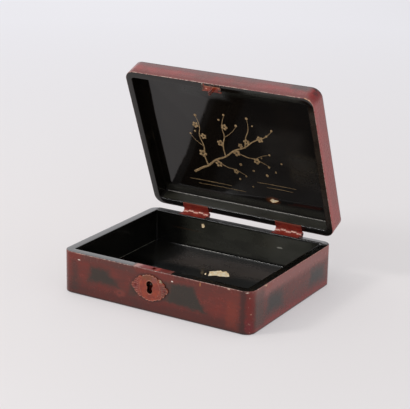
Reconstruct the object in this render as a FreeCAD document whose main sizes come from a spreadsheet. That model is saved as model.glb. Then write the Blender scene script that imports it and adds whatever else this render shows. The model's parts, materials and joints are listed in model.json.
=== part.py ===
# Lacquered wooden writing box: a base with a lock let into its front wall,
# and a lid on two butt hinges that stands open at the angle of lidOpen.
# X runs along the front, Y to the back and Z up, in millimetres. The origin is
# the middle of the underside. The lid's pieces are made as if it were shut,
# and their last placement swings them up about the hinge pins.

import FreeCAD, Part
import os
import re
from FreeCAD import Placement, Rotation, Vector

sizes = {
    # The whole box
    "boxWidth": 210,
    "boxDepth": 165,
    "baseHeight": 42.5,
    "lidHeight": 20,
    "closedGap": 1.2,
    "lidOpen": 68.25,
    "cornerRound": 10,
    "edgeRound": 1.2,
    # Boards, and the half laps that join them
    "baseWall": 9,
    "baseLap": 4.5,
    "bottomThick": 9.3,
    "lidWall": 7,
    "lidLap": 3.5,
    "topThick": 6,
    # Bamboo pegs through the corner laps
    "pegRadius": 1,
    "pegLength": 16,
    "pegInset": 2,
    "pegCover": 0.6,
    "basePegRise": 5.7,
    "basePegDrop": 8.5,
    "lidPegRise": 6.5,
    # Butt hinges
    "hingeSpread": 54.5,
    "hingeLength": 30,
    "leafThick": 1.2,
    "leafReach": 7,
    "leafGap": 0.3,
    "axisOut": 3.5,
    "barrelRadius": 2.5,
    "knuckles": 5,
    "knuckleGap": 0.25,
    "knucklePlay": 0.3,
    "pinRadius": 1,
    "pinPlay": 0.03,
    "pinProud": 0.4,
    "leafScrewSpread": 9,
    "leafScrewLength": 9,
    # Countersunk screws
    "screwHead": 1.6,
    "screwShank": 0.8,
    "screwTip": 0.2,
    "screwPoint": 2,
    "screwSlotWide": 0.5,
    "screwSlotDeep": 0.3,
    # Lock plate, case and keyhole
    "lockX": -3.4,
    "plateFlange": 3.5,
    "plateSkirt": 1.8,
    "plateThick": 1.2,
    "rimMargin": 0.8,
    "lockScrewLow": 2.5,
    "lockScrewHigh": 22,
    "lockScrewLength": 6,
    "frontWood": 2,
    "caseWide": 36,
    "caseTall": 25,
    "sheetThick": 0.8,
    "keyHeadRadius": 3.6,
    "keyClear": 0.3,
    "keySlotWide": 5.2,
    "keySlotLength": 6,
    "keyFootRadius": 3,
    "keyPinRadius": 1,
    "keyPinFront": 1,
    # Bolt, its rails and its spring
    "boltThick": 2,
    "boltPlay": 0.3,
    "boltTravel": 4.5,
    "boltEndClear": 0.4,
    "boltLeftClear": 1.5,
    "barTall": 2.2,
    "barDrop": 0.5,
    "postWide": 3.8,
    "nibLength": 4.7,
    "nibTall": 2.8,
    "nibThick": 1.2,
    "nibClear": 0.7,
    "talonWide": 5,
    "talonDeep": 1,
    "railThick": 1.2,
    "keySweep": 8.1,
    "springThick": 0.4,
    "springClear": 2.3,
    # Staple and strike plate of the lid
    "stapleX": -2.5,
    "stapleThick": 1.6,
    "stapleGap": 0.6,
    "stapleDrop": 8,
    "stapleWeb": 0.8,
    "stapleHoleTall": 4.4,
    "stapleClear": 0.45,
    "slotPlay": 0.7,
    "strikeX": -5,
    "strikeWide": 21.5,
    "strikeThick": 1.2,
    "strikeProud": 0.5,
    "strikeScrewSpread": 7.6,
    "strikeScrewLength": 8,
    # Keyhole plate on the front
    "shieldBelowKey": 3.15,
    "shieldThick": 1,
    "shieldRise": 0.4,
    "shieldEdge": 0.9,
    "discRadius": 13.2,
    "earSpread": 13.5,
    "earRadius": 6.2,
    "scallops": 16,
    "scallopAcross": 17,
    "scallopUp": 7,
    "scallopRadius": 3.6,
    "nailOutset": 2.5,
    "nailHead": 1,
    "nailHeadTall": 0.5,
    "nailShank": 0.5,
    "nailBite": 1.4,
}

doc = FreeCAD.newDocument("WritingBox")
sheet = doc.addObject("Spreadsheet::Sheet", "Sizes")
for row, (alias, value) in enumerate(sizes.items(), start=1):
    sheet.set(f"A{row}", alias)
    sheet.set(f"B{row}", str(value))
    sheet.setAlias(f"B{row}", alias)
doc.recompute()

aliasWord = re.compile(r"\b(" + "|".join(sizes) + r")\b")

# Places that several pieces share, as expressions of the sizes
frontFace = "-boxDepth / 2"
hingeY = "(boxDepth / 2 + axisOut)"
hingeZ = "(baseHeight + closedGap / 2)"
lidRim = "(baseHeight + closedGap)"
lidTop = "(baseHeight + closedGap + lidHeight)"
wallInside = "(-boxDepth / 2 + baseWall)"
plateFace = "(-boxDepth / 2 + baseWall - plateThick)"
caseFront = "(-boxDepth / 2 + frontWood)"
caseTop = "(baseHeight - plateThick)"
caseLow = "(baseHeight - plateThick - caseTall)"
plateWide = "(caseWide + 2 * plateFlange)"
plateLow = "(baseHeight - plateThick - caseTall - plateSkirt)"
stapleNear = "(-boxDepth / 2 + frontWood + sheetThick + stapleGap)"
stapleFar = "(-boxDepth / 2 + baseWall - plateThick - stapleGap)"
stapleMid = f"(({stapleNear} + {stapleFar}) / 2)"
stapleTip = "(baseHeight - stapleDrop)"
barTop = "(baseHeight - stapleDrop - barDrop)"
barLow = "(baseHeight - stapleDrop - barDrop - barTall)"
keyHeadZ = f"({barLow} - keyClear - keyHeadRadius)"
keySlotLow = f"({keyHeadZ} - keySlotLength)"
shieldZ = f"({keyHeadZ} - shieldBelowKey)"
shieldFace = "(-boxDepth / 2 - shieldThick)"
fittingScrewIn = "lidWall / 2"
sides = {"left": -1, "right": 1}


def bind(thing, expressions):
    for name, text in expressions.items():
        thing.setExpression(name, aliasWord.sub(r"Sizes.\1", text))
    return thing


def move(thing, x="0", y="0", z="0"):
    return bind(thing, {"Placement.Base.x": x, "Placement.Base.y": y, "Placement.Base.z": z})


def block(name, x, y, z, kind="Part::Box"):
    # x, y and z are each a low and a high end
    box = doc.addObject(kind, name)
    for prop, (low, high) in zip(("Length", "Width", "Height"), (x, y, z)):
        bind(box, {prop: f"({high}) - ({low})"})
    return move(box, x[0], y[0], z[0])


def around(middle, half):
    return f"{middle} - ({half})", f"{middle} + ({half})"


def outward(sign, inner, outer):
    # A span between two distances from the middle, on the side of sign
    if sign > 0:
        return inner, outer
    return f"-({outer})", f"-({inner})"


def rod(name, axis, radius, span, centre):
    # A round bar along axis, with its centre line at the two other places
    bar = doc.addObject("Part::Cylinder", name)
    low, high = span
    bind(bar, {"Radius": radius, "Height": f"({high}) - ({low})"})
    if axis == "x":
        bar.Placement = Placement(Vector(), Rotation(Vector(0, 1, 0), 90))
        return move(bar, low, *centre)
    if axis == "y":
        bar.Placement = Placement(Vector(), Rotation(Vector(1, 0, 0), -90))
        return move(bar, centre[0], low, centre[1])
    return move(bar, centre[0], centre[1], low)


def joined(name, pieces):
    union = doc.addObject("Part::MultiFuse", name)
    union.Shapes = pieces
    return union


def cutAway(name, piece, tools):
    cut = doc.addObject("Part::Cut", name)
    cut.Base = piece
    cut.Tool = tools[0] if len(tools) == 1 else joined(name + "Tools", tools)
    return cut


def within(name, form, piece):
    part = doc.addObject("Part::Common", name)
    part.Base = form
    part.Tool = piece
    return part


def roundedForm(name, low, high, roundedEnd):
    # The outside of the base or lid, with round corners and one soft edge
    body = doc.addObject("PartDesign::Body", name)
    box = body.newObject("PartDesign::AdditiveBox", name + "Block")
    bind(box, {"Length": "boxWidth", "Width": "boxDepth", "Height": f"({high}) - ({low})"})
    move(box, "-boxWidth / 2", "-boxDepth / 2", low)
    doc.recompute()
    upright = [f"Edge{k}" for k, edge in enumerate(box.Shape.Edges, start=1)
               if edge.BoundBox.ZLength > edge.BoundBox.DiagonalLength / 2]
    corners = body.newObject("PartDesign::Fillet", name + "Corners")
    corners.Base = (box, upright)
    bind(corners, {"Radius": "cornerRound"})
    doc.recompute()
    bounds = corners.Shape.BoundBox
    endZ = bounds.ZMax if roundedEnd == "top" else bounds.ZMin
    ring = [f"Edge{k}" for k, edge in enumerate(corners.Shape.Edges, start=1)
            if abs(edge.BoundBox.ZMin - endZ) + abs(edge.BoundBox.ZMax - endZ) < 0.001]
    soft = body.newObject("PartDesign::Fillet", name + "Edge")
    soft.Base = (corners, ring)
    bind(soft, {"Radius": "edgeRound"})
    body.Tip = soft
    return body


def screwForm(name, length):
    # Head face at the origin, point down
    shankLow = f"-{length} + screwPoint"
    headDeep = "screwHead - screwShank"
    point = doc.addObject("Part::Cone", name + "Point")
    bind(point, {"Radius1": "screwTip", "Radius2": "screwShank", "Height": "screwPoint"})
    move(point, z=f"-{length}")
    shank = rod(name + "Shank", "z", "screwShank", (shankLow, f"-({headDeep})"), ("0", "0"))
    head = doc.addObject("Part::Cone", name + "Head")
    bind(head, {"Radius1": "screwShank", "Radius2": "screwHead", "Height": headDeep})
    move(head, z=f"-({headDeep})")
    slot = block(name + "Slot", around("0", "2 * screwHead"), around("0", "screwSlotWide / 2"),
                 ("-screwSlotDeep", "screwSlotDeep"))
    return cutAway(name, joined(name + "Solid", [point, shank, head]), [slot])


def driven(name, form, way, places):
    # Copies of a fastener, each with its head at one of the places
    turns = {"down": 0, "up": 180, "front": -90, "back": 90}
    copies = []
    for number, place in enumerate(places):
        copy = doc.addObject("App::Link", f"{name}Copy{number}")
        copy.LinkedObject = form
        copy.Placement = Placement(Vector(), Rotation(Vector(1, 0, 0), turns[way]))
        copies.append(move(copy, *place))
    group = doc.addObject("Part::Compound", name)
    group.Links = copies
    return group


nodes = {}


def baseNode(label, shape):
    shape.Label = label
    nodes[label] = shape
    return shape


def lidNode(label, shape):
    # The shut piece, swung up about the hinge axis
    piece = doc.addObject("Part::Compound", label)
    piece.Links = [shape]
    piece.Placement = Placement(Vector(), Rotation(Vector(-1, 0, 0), 1))
    bind(piece, {"Placement.Rotation.Angle": "lidOpen"})
    move(piece, y=f"{hingeY} * (1 - cos(lidOpen)) - {hingeZ} * sin(lidOpen)",
         z=f"{hingeZ} * (1 - cos(lidOpen)) + {hingeY} * sin(lidOpen)")
    return baseNode(label, piece)


def cornerPegs(name, wall, heights):
    # Pegs run from the front and back faces into the ends of the side walls
    fromMiddle = f"boxWidth / 2 - {wall} + pegInset"
    intoRound = f"max(0; {fromMiddle} - boxWidth / 2 + cornerRound)"
    face = f"boxDepth / 2 - cornerRound + sqrt(pow(cornerRound; 2) - pow({intoRound}; 2))"
    pegs = []
    for side, signX in sides.items():
        for end, signY in (("Front", -1), ("Back", 1)):
            for number, height in enumerate(heights):
                span = outward(signY, f"{face} - pegCover - pegLength", f"{face} - pegCover")
                pegs.append(rod(f"{name}{side}{end}{number}", "y", "pegRadius", span,
                                (f"{signX} * ({fromMiddle})", height)))
    group = doc.addObject("Part::Compound", name)
    group.Links = pegs
    return group


# Screws and nails, made once and used in several places

leafScrew = screwForm("LeafScrew", "leafScrewLength")
lockScrew = screwForm("LockScrew", "lockScrewLength")
strikeScrew = screwForm("StrikeScrew", "strikeScrewLength")
nail = joined("Nail", [
    rod("NailHead", "z", "nailHead", ("0", "nailHeadTall"), ("0", "0")),
    rod("NailShank", "z", "nailShank", ("-shieldThick - nailBite", "nailHeadTall / 2"), ("0", "0")),
])

# Lock: an angle plate let into the rim and the inside of the front wall,
# with a case behind it that holds the bolt

rimPlateY = (f"{frontFace} + rimMargin", wallInside)
plateX = around("lockX", f"{plateWide} / 2")
lockPlateSolid = joined("LockPlateSolid", [
    block("LockBackPlate", plateX, (plateFace, wallInside), (plateLow, "baseHeight")),
    block("LockRimPlate", plateX, rimPlateY, (caseTop, "baseHeight")),
])
caseX = around("lockX", "caseWide / 2")
caseSolid = block("CaseSolid", caseX, (caseFront, plateFace), (caseLow, caseTop))
caseHollow = block(
    "CaseHollow", around("lockX", "caseWide / 2 - sheetThick"),
    (f"{caseFront} + sheetThick", f"{plateFace} + 1"),
    (f"{caseLow} + sheetThick", f"{caseTop} + 1"))
keyholeY = (f"{shieldFace} - shieldRise - 1", f"{caseFront} + sheetThick + 0.1")
keyhole = joined("Keyhole", [
    rod("KeyholeHead", "y", "keyHeadRadius", keyholeY, ("lockX", keyHeadZ)),
    rod("KeyholeFoot", "y", "keyFootRadius", keyholeY, ("lockX", keySlotLow)),
    block("KeyholeSlot", around("lockX", "keySlotWide / 2"), keyholeY, (keySlotLow, keyHeadZ)),
])
keyPin = baseNode("lock_key_pin", rod(
    "KeyPin", "y", "keyPinRadius", (f"{frontFace} + keyPinFront", wallInside), ("lockX", keyHeadZ)))

lockScrewPlaces = [
    (f"lockX + {sign} * (caseWide + plateFlange) / 2", wallInside, f"{plateLow} + {height}")
    for sign in sides.values() for height in ("lockScrewLow", "lockScrewHigh")]
lockScrews = baseNode("lock_screws", driven("LockScrews", lockScrew, "front", lockScrewPlaces))

stapleSlot = block(
    "StapleSlot", around("stapleX", "stapleThick / 2 + slotPlay"),
    (f"{stapleNear} - stapleClear", f"{stapleFar} + stapleClear"),
    (f"{caseTop} - 1", "baseHeight + 1"))
baseNode("lock_plate", cutAway("LockPlate", lockPlateSolid, [stapleSlot, keyPin, lockScrews]))

# The bolt is a bar on two rails, with a post whose nib enters the staple.
# The bar passes just under the staple's tip.

boltY = around(stapleMid, "boltThick / 2")
nibTip = "(stapleX - stapleThick / 2 - nibClear)"
postEnd = f"({nibTip} - nibLength)"
nibMid = f"({stapleTip} + stapleWeb + stapleHoleTall / 2)"
barX = ("lockX - caseWide / 2 + sheetThick + boltLeftClear",
        "lockX + caseWide / 2 - sheetThick - boltTravel - boltEndClear")
talon = block("BoltTalon", around("lockX", "talonWide / 2"), around(stapleMid, "boltThick"),
              (f"{barLow} - 1", f"{barLow} + talonDeep"))
boltSolid = joined("BoltSolid", [
    block("BoltBar", barX, boltY, (barLow, barTop)),
    block("BoltPost", (f"{postEnd} - postWide", postEnd), boltY, (barLow, f"{nibMid} + nibTall / 2")),
    block("BoltNib", (f"{postEnd} - 1", nibTip), around(stapleMid, "nibThick / 2"),
          around(nibMid, "nibTall / 2")),
])
baseNode("lock_bolt", cutAway("LockBolt", boltSolid, [talon]))

railTop = f"({barLow} - boltPlay)"
railY = (f"{caseFront} + sheetThick / 2", f"{stapleMid} + boltThick / 2")
rails = [block(f"{side}Rail", (f"lockX + {low}", f"lockX + {high}"), railY,
               (f"{railTop} - railThick", railTop))
         for side, low, high in (
             ("Left", "(-caseWide / 2 + sheetThick / 2)", "-keySweep"),
             ("Right", "keySweep", "(caseWide / 2 - sheetThick / 2)"))]
caseShell = cutAway("CaseShell", caseSolid, [caseHollow])
baseNode("lock_case", cutAway("LockCase", joined("CaseAndRails", [caseShell] + rails), [keyhole]))
baseNode("bolt_spring", block(
    "BoltSpring", ("stapleX + stapleThick / 2 + springClear", "lockX + caseWide / 2 - sheetThick"), boltY,
    (f"{barTop} + boltPlay / 3", f"{barTop} + boltPlay / 3 + springThick")))

# Keyhole plate: a lobed plate with a raised edge and a raised ring


def shieldLobes(name, inset, span):
    lobes = [rod(f"{name}Disc", "y", f"discRadius - {inset}", span, ("lockX", shieldZ))]
    for side, sign in sides.items():
        lobes.append(rod(f"{name}{side}Ear", "y", f"earRadius - {inset}", span,
                         (f"lockX + {sign} * earSpread", shieldZ)))
    count = int(sizes["scallops"])
    for number in range(count):
        angle = (number + 0.5) * 360 / count
        lobes.append(rod(f"{name}Scallop{number}", "y", f"scallopRadius - {inset}", span, (
            f"lockX + scallopAcross * cos({angle})", f"{shieldZ} + scallopUp * sin({angle})")))
    return joined(name, lobes)


shieldFull = (f"{shieldFace} - shieldRise", frontFace)
shieldSolid = shieldLobes("ShieldSolid", "0", shieldFull)
shieldHollow = shieldLobes("ShieldHollow", "shieldEdge", (f"{shieldFace} - shieldRise - 1", shieldFace))
shieldRing = [
    rod("RingHead", "y", "keyHeadRadius + shieldEdge", shieldFull, ("lockX", keyHeadZ)),
    rod("RingFoot", "y", "keyFootRadius + shieldEdge", shieldFull, ("lockX", keySlotLow)),
    block("RingSlot", around("lockX", "keySlotWide / 2 + shieldEdge"), shieldFull, (keySlotLow, keyHeadZ)),
]
nailPlaces = [(f"lockX + {sign} * (earSpread + nailOutset)", shieldFace, shieldZ)
              for sign in sides.values()]
nails = baseNode("keyhole_plate_nails", driven("ShieldNails", nail, "back", nailPlaces))
shieldDished = cutAway("ShieldDished", shieldSolid, [shieldHollow])
baseNode("keyhole_plate", cutAway(
    "KeyholePlate", joined("ShieldRinged", [shieldDished] + shieldRing), [keyhole, nails]))

# Hinges: each leaf is a plate let into its rim, with its share of the knuckles


def hingeLeaf(name, middle, firstKnuckle, plateZ):
    nearY = "boxDepth / 2 - leafReach"
    farY = f"{hingeY} - barrelRadius - knucklePlay"
    parts = [block(f"{name}Plate", around(middle, "hingeLength / 2"), (nearY, farY), plateZ)]
    for number in range(firstKnuckle, int(sizes["knuckles"]), 2):
        start = f"{middle} - hingeLength / 2 + hingeLength / knuckles * {number} + knuckleGap / 2"
        span = (start, f"{start} + hingeLength / knuckles - knuckleGap")
        parts.append(block(f"{name}Web{number}", span, (f"{farY} - 1", hingeY), plateZ))
        parts.append(rod(f"{name}Knuckle{number}", "x", "barrelRadius", span, (hingeY, hingeZ)))
    bore = rod(f"{name}Bore", "x", "pinRadius + pinPlay", around(middle, "hingeLength"), (hingeY, hingeZ))
    return joined(f"{name}Solid", parts), bore


baseLeafZ = (f"{hingeZ} - leafGap / 2 - leafThick", f"{hingeZ} - leafGap / 2")
lidLeafZ = (f"{hingeZ} + leafGap / 2", f"{hingeZ} + leafGap / 2 + leafThick")
screwY = f"boxDepth / 2 - {fittingScrewIn}"
baseScrewPlaces = []
lidScrewPlaces = []
for signX in sides.values():
    for offset in sides.values():
        screwX = f"{signX} * hingeSpread + {offset} * leafScrewSpread"
        baseScrewPlaces.append((screwX, screwY, baseLeafZ[1]))
        lidScrewPlaces.append((screwX, screwY, lidLeafZ[0]))
baseLeafScrews = baseNode("base_leaf_screws", driven("BaseLeafScrews", leafScrew, "down", baseScrewPlaces))
lidLeafScrews = driven("LidLeafScrews", leafScrew, "up", lidScrewPlaces)
lidNode("lid_leaf_screws", lidLeafScrews)

baseLeaves = []
lidLeaves = []
for side, signX in sides.items():
    middle = f"{signX} * hingeSpread"
    solid, bore = hingeLeaf(f"{side}BaseLeaf", middle, 0, baseLeafZ)
    baseLeaves.append(solid)
    baseNode(f"{side}_hinge_base_leaf", cutAway(f"{side}BaseLeaf", solid, [bore, baseLeafScrews]))
    solid, bore = hingeLeaf(f"{side}LidLeaf", middle, 1, lidLeafZ)
    lidLeaves.append(solid)
    lidNode(f"{side}_hinge_lid_leaf", cutAway(f"{side}LidLeaf", solid, [bore, lidLeafScrews]))
    baseNode(f"{side}_hinge_pin", rod(
        f"{side}HingePin", "x", "pinRadius", around(middle, "hingeLength / 2 + pinProud"), (hingeY, hingeZ)))

# Base boards: half laps at the corners, and the bottom let in flush

baseForm = roundedForm("BaseForm", "0", "baseHeight", "bottom")
baseZ = ("0", "baseHeight")
bottom = baseNode("base_bottom_board", block(
    "BottomBoard", around("0", "boxWidth / 2 - baseLap"), around("0", "boxDepth / 2 - baseLap"),
    ("0", "bottomThick")))
basePegs = baseNode("base_corner_pegs", cornerPegs("BasePegs", "baseWall", [
    "bottomThick + basePegRise", "baseHeight - basePegDrop"]))
baseSides = []
for side, signX in sides.items():
    raw = block(f"{side}WallBlock", outward(signX, "boxWidth / 2 - baseWall", "boxWidth / 2"),
                around("0", "boxDepth / 2 - baseLap"), baseZ)
    wall = within(f"{side}WallForm", baseForm, raw)
    baseSides.append(wall)
    baseNode(f"base_{side}_wall", cutAway(f"{side}Wall", wall, [bottom, basePegs]))

frontRaw = block("FrontWallBlock", around("0", "boxWidth / 2"), (frontFace, wallInside), baseZ)
baseNode("base_front_wall", cutAway("FrontWall", within("FrontWallForm", baseForm, frontRaw), [
    bottom, basePegs, *baseSides, lockPlateSolid, caseSolid, keyhole, lockScrews, nails]))
backRaw = block("BackWallBlock", around("0", "boxWidth / 2"), outward(1, "boxDepth / 2 - baseWall",
                                                                    "boxDepth / 2"), baseZ)
baseNode("base_back_wall", cutAway("BackWall", within("BackWallForm", baseForm, backRaw), [
    bottom, basePegs, *baseSides, *baseLeaves, baseLeafScrews]))

# Strike plate and staple, under the front rim of the lid

strikeZ = (f"{lidRim} - strikeProud", f"{lidRim} - strikeProud + strikeThick")
strikeSolid = block("StrikeSolid", around("strikeX", "strikeWide / 2"), rimPlateY, strikeZ)
stapleSolid = block("StapleSolid", around("stapleX", "stapleThick / 2"), (stapleNear, stapleFar),
                    (stapleTip, strikeZ[1]))
stapleHole = block(
    "StapleHole", around("stapleX", "stapleThick"),
    (f"{stapleNear} + stapleWeb", f"{stapleFar} - stapleWeb"),
    (f"{stapleTip} + stapleWeb", f"{stapleTip} + stapleWeb + stapleHoleTall"))
strikeScrewPlaces = [
    (f"strikeX + {sign} * strikeScrewSpread", f"{frontFace} + {fittingScrewIn}", strikeZ[0])
    for sign in sides.values()]
strikeScrews = driven("StrikeScrews", strikeScrew, "up", strikeScrewPlaces)
lidNode("strike_screws", strikeScrews)
lidNode("strike_staple", cutAway("StrikeStaple", stapleSolid, [stapleHole]))
lidNode("strike_plate", cutAway("StrikePlate", strikeSolid, [stapleSolid, strikeScrews]))

# Lid boards: the same laps, with the top let in flush

lidForm = roundedForm("LidForm", lidRim, lidTop, "top")
lidZ = (lidRim, lidTop)
topBoard = block(
    "TopBoard", around("0", "boxWidth / 2 - lidLap"), around("0", "boxDepth / 2 - lidLap"),
    (f"{lidTop} - topThick", lidTop))
lidNode("lid_top_board", topBoard)
lidPegs = cornerPegs("LidPegs", "lidWall", [f"{lidRim} + lidPegRise"])
lidNode("lid_corner_pegs", lidPegs)
lidSides = []
for side, signX in sides.items():
    raw = block(f"{side}LidBlock", outward(signX, "boxWidth / 2 - lidWall", "boxWidth / 2"),
                around("0", "boxDepth / 2 - lidLap"), lidZ)
    wall = within(f"{side}LidForm", lidForm, raw)
    lidSides.append(wall)
    lidNode(f"lid_{side}_wall", cutAway(f"{side}LidWall", wall, [topBoard, lidPegs]))
lidFrontFittings = [strikeSolid, strikeScrews]
lidBackFittings = [*lidLeaves, lidLeafScrews]
for end, signY, fittings in (("front", -1, lidFrontFittings), ("back", 1, lidBackFittings)):
    raw = block(f"{end}LidBlock", around("0", "boxWidth / 2"),
                outward(signY, "boxDepth / 2 - lidWall", "boxDepth / 2"), lidZ)
    wall = within(f"{end}LidForm", lidForm, raw)
    lidNode(f"lid_{end}_wall", cutAway(f"{end}LidWall", wall, [topBoard, lidPegs, *lidSides, *fittings]))

# Every object is rebuilt and looked over before a file is written

doc.recompute()
for thing in doc.Objects:
    if "Invalid" in thing.State or "Error" in thing.State:
        raise RuntimeError(f"{thing.Label} did not build: {thing.State}")
groupCounts = {
    "lock_screws": len(lockScrewPlaces),
    "keyhole_plate_nails": len(nailPlaces),
    "base_leaf_screws": len(baseScrewPlaces),
    "lid_leaf_screws": len(lidScrewPlaces),
    "strike_screws": len(strikeScrewPlaces),
    "base_corner_pegs": len(basePegs.Links),
    "lid_corner_pegs": len(lidPegs.Links),
}
os.makedirs("parts", exist_ok=True)
for label, thing in nodes.items():
    shape = thing.Shape
    if shape.isNull() or not shape.isValid():
        raise RuntimeError(f"{label} is not a valid solid")
    if len(shape.Solids) != groupCounts.get(label, 1):
        raise RuntimeError(f"{label} has {len(shape.Solids)} solids")
for label, thing in nodes.items():
    thing.Shape.exportStep(f"parts/{label}.step")
    print(f"{label}: {thing.Shape.Volume / 1000:.3f} cm3")
print(f"{len(nodes)} pieces written")
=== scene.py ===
import json
import math

import bmesh
import bpy
from mathutils import Matrix, Vector, noise


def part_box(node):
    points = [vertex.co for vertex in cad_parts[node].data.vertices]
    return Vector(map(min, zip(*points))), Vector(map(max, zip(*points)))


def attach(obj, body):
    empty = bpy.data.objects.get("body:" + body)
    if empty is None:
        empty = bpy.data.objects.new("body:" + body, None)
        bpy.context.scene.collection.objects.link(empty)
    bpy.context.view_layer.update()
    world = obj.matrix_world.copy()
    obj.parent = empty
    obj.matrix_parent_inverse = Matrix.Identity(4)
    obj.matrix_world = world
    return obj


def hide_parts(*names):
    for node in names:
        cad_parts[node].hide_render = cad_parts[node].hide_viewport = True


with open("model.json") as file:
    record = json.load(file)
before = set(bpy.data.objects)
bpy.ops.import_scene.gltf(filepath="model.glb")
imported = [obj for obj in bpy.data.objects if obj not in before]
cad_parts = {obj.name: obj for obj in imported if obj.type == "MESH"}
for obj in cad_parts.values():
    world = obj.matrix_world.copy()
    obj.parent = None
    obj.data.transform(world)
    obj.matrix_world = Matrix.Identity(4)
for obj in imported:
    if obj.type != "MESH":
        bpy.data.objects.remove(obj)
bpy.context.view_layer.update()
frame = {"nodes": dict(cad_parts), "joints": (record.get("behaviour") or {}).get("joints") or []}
print("frame loaded")

mm = 0.001

# The lid is made shut and then swung up about the hinge pins

lidJoint = next(joint for joint in frame["joints"] if joint["name"] == "lid_hinge")
hingePoint = Vector(lidJoint["pos_m"])
openAngle = math.radians(-lidJoint["range_deg"][0])
swingUp = (Matrix.Translation(hingePoint) @ Matrix.Rotation(-openAngle, 4, "X")
           @ Matrix.Translation(-hingePoint))
swingShut = swingUp.inverted()


def shutBox(*nodes, turn=swingShut):
    # Lowest and highest corner of some nodes, those of the lid with the lid shut
    places = [turn @ vertex.co for node in nodes for vertex in frame["nodes"][node].data.vertices]
    return (Vector([min(place[k] for place in places) for k in range(3)]),
            Vector([max(place[k] for place in places) for k in range(3)]))


walls = ("front_wall", "back_wall", "left_wall", "right_wall")
baseLow, baseHigh = shutBox(*[f"base_{wall}" for wall in walls], turn=Matrix.Identity(4))
lidLow, lidHigh = shutBox(*[f"lid_{wall}" for wall in walls])
panelZ = shutBox("lid_top_board")[0].z


# Node and colour helpers

def linear(hexText):
    # sRGB hex to the linear colour that a socket holds
    channels = [int(hexText[k:k + 2], 16) / 255 for k in (0, 2, 4)]
    return [c / 12.92 if c <= 0.04045 else ((c + 0.055) / 1.055) ** 2.4 for c in channels] + [1.0]


def addNode(tree, kind, inputs=None, **settings):
    # A new node; its inputs take a value, a node's first output or a socket
    node = tree.nodes.new(kind)
    for name, value in settings.items():
        setattr(node, name, value)
    for key, source in (inputs or {}).items():
        if isinstance(key, int):
            target = node.inputs[key]
        else:
            target = next(socket for socket in node.inputs if socket.enabled and socket.name == key)
        if isinstance(source, bpy.types.Node):
            source = next(socket for socket in source.outputs if socket.enabled)
        if isinstance(source, bpy.types.NodeSocket):
            tree.links.new(source, target)
        else:
            target.default_value = source
    return node


def newMaterial(name):
    # A material with an empty node tree
    material = bpy.data.materials.new(name)
    material.use_nodes = True
    material.node_tree.nodes.clear()
    return material, material.node_tree


def finishMaterial(tree, surface):
    addNode(tree, "ShaderNodeOutputMaterial", {"Surface": surface})


def shutPlace(tree, onLid):
    # Place in millimetres on the shut box, so that marks stay put as the lid swings
    turn = openAngle if onLid else 0.0
    centre = hingePoint / mm
    offset = centre - Matrix.Rotation(turn, 3, "X") @ centre
    spot = addNode(tree, "ShaderNodeTexCoord")
    return addNode(tree, "ShaderNodeMapping", {
        "Vector": spot.outputs["Object"], "Location": offset, "Rotation": (turn, 0, 0),
        "Scale": (1 / mm, 1 / mm, 1 / mm)})


def patchMask(tree, flatPoint, corners, soft):
    # 1 inside a straight-sided patch and 0 outside; corners run anticlockwise in millimetres
    nearest = None
    for (u0, v0), (u1, v1) in zip(corners, corners[1:] + corners[:1]):
        length = math.hypot(u1 - u0, v1 - v0)
        inU, inV = -(v1 - v0) / length, (u1 - u0) / length
        edge = addNode(tree, "ShaderNodeVectorMath", {
            0: flatPoint, 1: (inU, inV, -inU * u0 - inV * v0)}, operation="DOT_PRODUCT").outputs["Value"]
        if nearest is not None:
            edge = addNode(tree, "ShaderNodeMath", {0: nearest, 1: edge}, operation="MINIMUM")
        nearest = edge
    return addNode(tree, "ShaderNodeMapRange", {
        "Value": nearest, "From Min": -soft, "From Max": soft}, interpolation_type="SMOOTHSTEP")


def spotMask(tree, point, centre, radii, soft):
    # 1 inside an ellipsoid spot, fading out over the share soft of its radius
    away = addNode(tree, "ShaderNodeVectorMath", {0: point, 1: centre}, operation="SUBTRACT")
    scaled = addNode(tree, "ShaderNodeVectorMath", {0: away, 1: radii}, operation="DIVIDE")
    length = addNode(tree, "ShaderNodeVectorMath", {0: scaled}, operation="LENGTH").outputs["Value"]
    return addNode(tree, "ShaderNodeMapRange", {
        "Value": length, "From Min": 1 + soft, "From Max": 1 - soft}, interpolation_type="SMOOTHSTEP")


def boxMask(tree, point, low, high, soft):
    # 1 well inside a box and 0 outside it, rising over soft millimetres along each axis
    middle = [(a + b) / 2 for a, b in zip(low, high)]
    half = [(b - a) / 2 for a, b in zip(low, high)]
    away = addNode(tree, "ShaderNodeVectorMath", {0: point, 1: middle}, operation="SUBTRACT")
    away = addNode(tree, "ShaderNodeVectorMath", {0: away}, operation="ABSOLUTE")
    away = addNode(tree, "ShaderNodeVectorMath", {0: half, 1: away}, operation="SUBTRACT")
    away = addNode(tree, "ShaderNodeVectorMath", {0: away, 1: soft}, operation="DIVIDE")
    parts = addNode(tree, "ShaderNodeSeparateXYZ", {"Vector": away}).outputs
    inside = addNode(tree, "ShaderNodeMath", {0: parts[0], 1: parts[1]}, operation="MINIMUM")
    inside = addNode(tree, "ShaderNodeMath", {0: inside, 1: parts[2]}, operation="MINIMUM")
    return addNode(tree, "ShaderNodeMapRange", {"Value": inside}, interpolation_type="SMOOTHSTEP")


def twoTone(tree, value, low, high, hexLow, hexHigh):
    # From one colour to another as a value rises over a range
    share = addNode(tree, "ShaderNodeMapRange", {"Value": value, "From Min": low, "From Max": high})
    return addNode(tree, "ShaderNodeMix", {
        "Factor": share, "A": linear(hexLow), "B": linear(hexHigh)}, data_type="RGBA")


def layOver(tree, colour, mask, strength, hexText):
    # One more colour over those below it, where its mask lets it show
    share = addNode(tree, "ShaderNodeMath", {0: mask, 1: strength}, operation="MULTIPLY")
    return addNode(tree, "ShaderNodeMix", {
        "Factor": share, "A": colour, "B": linear(hexText)}, data_type="RGBA")


# Lacquer finishes

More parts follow.
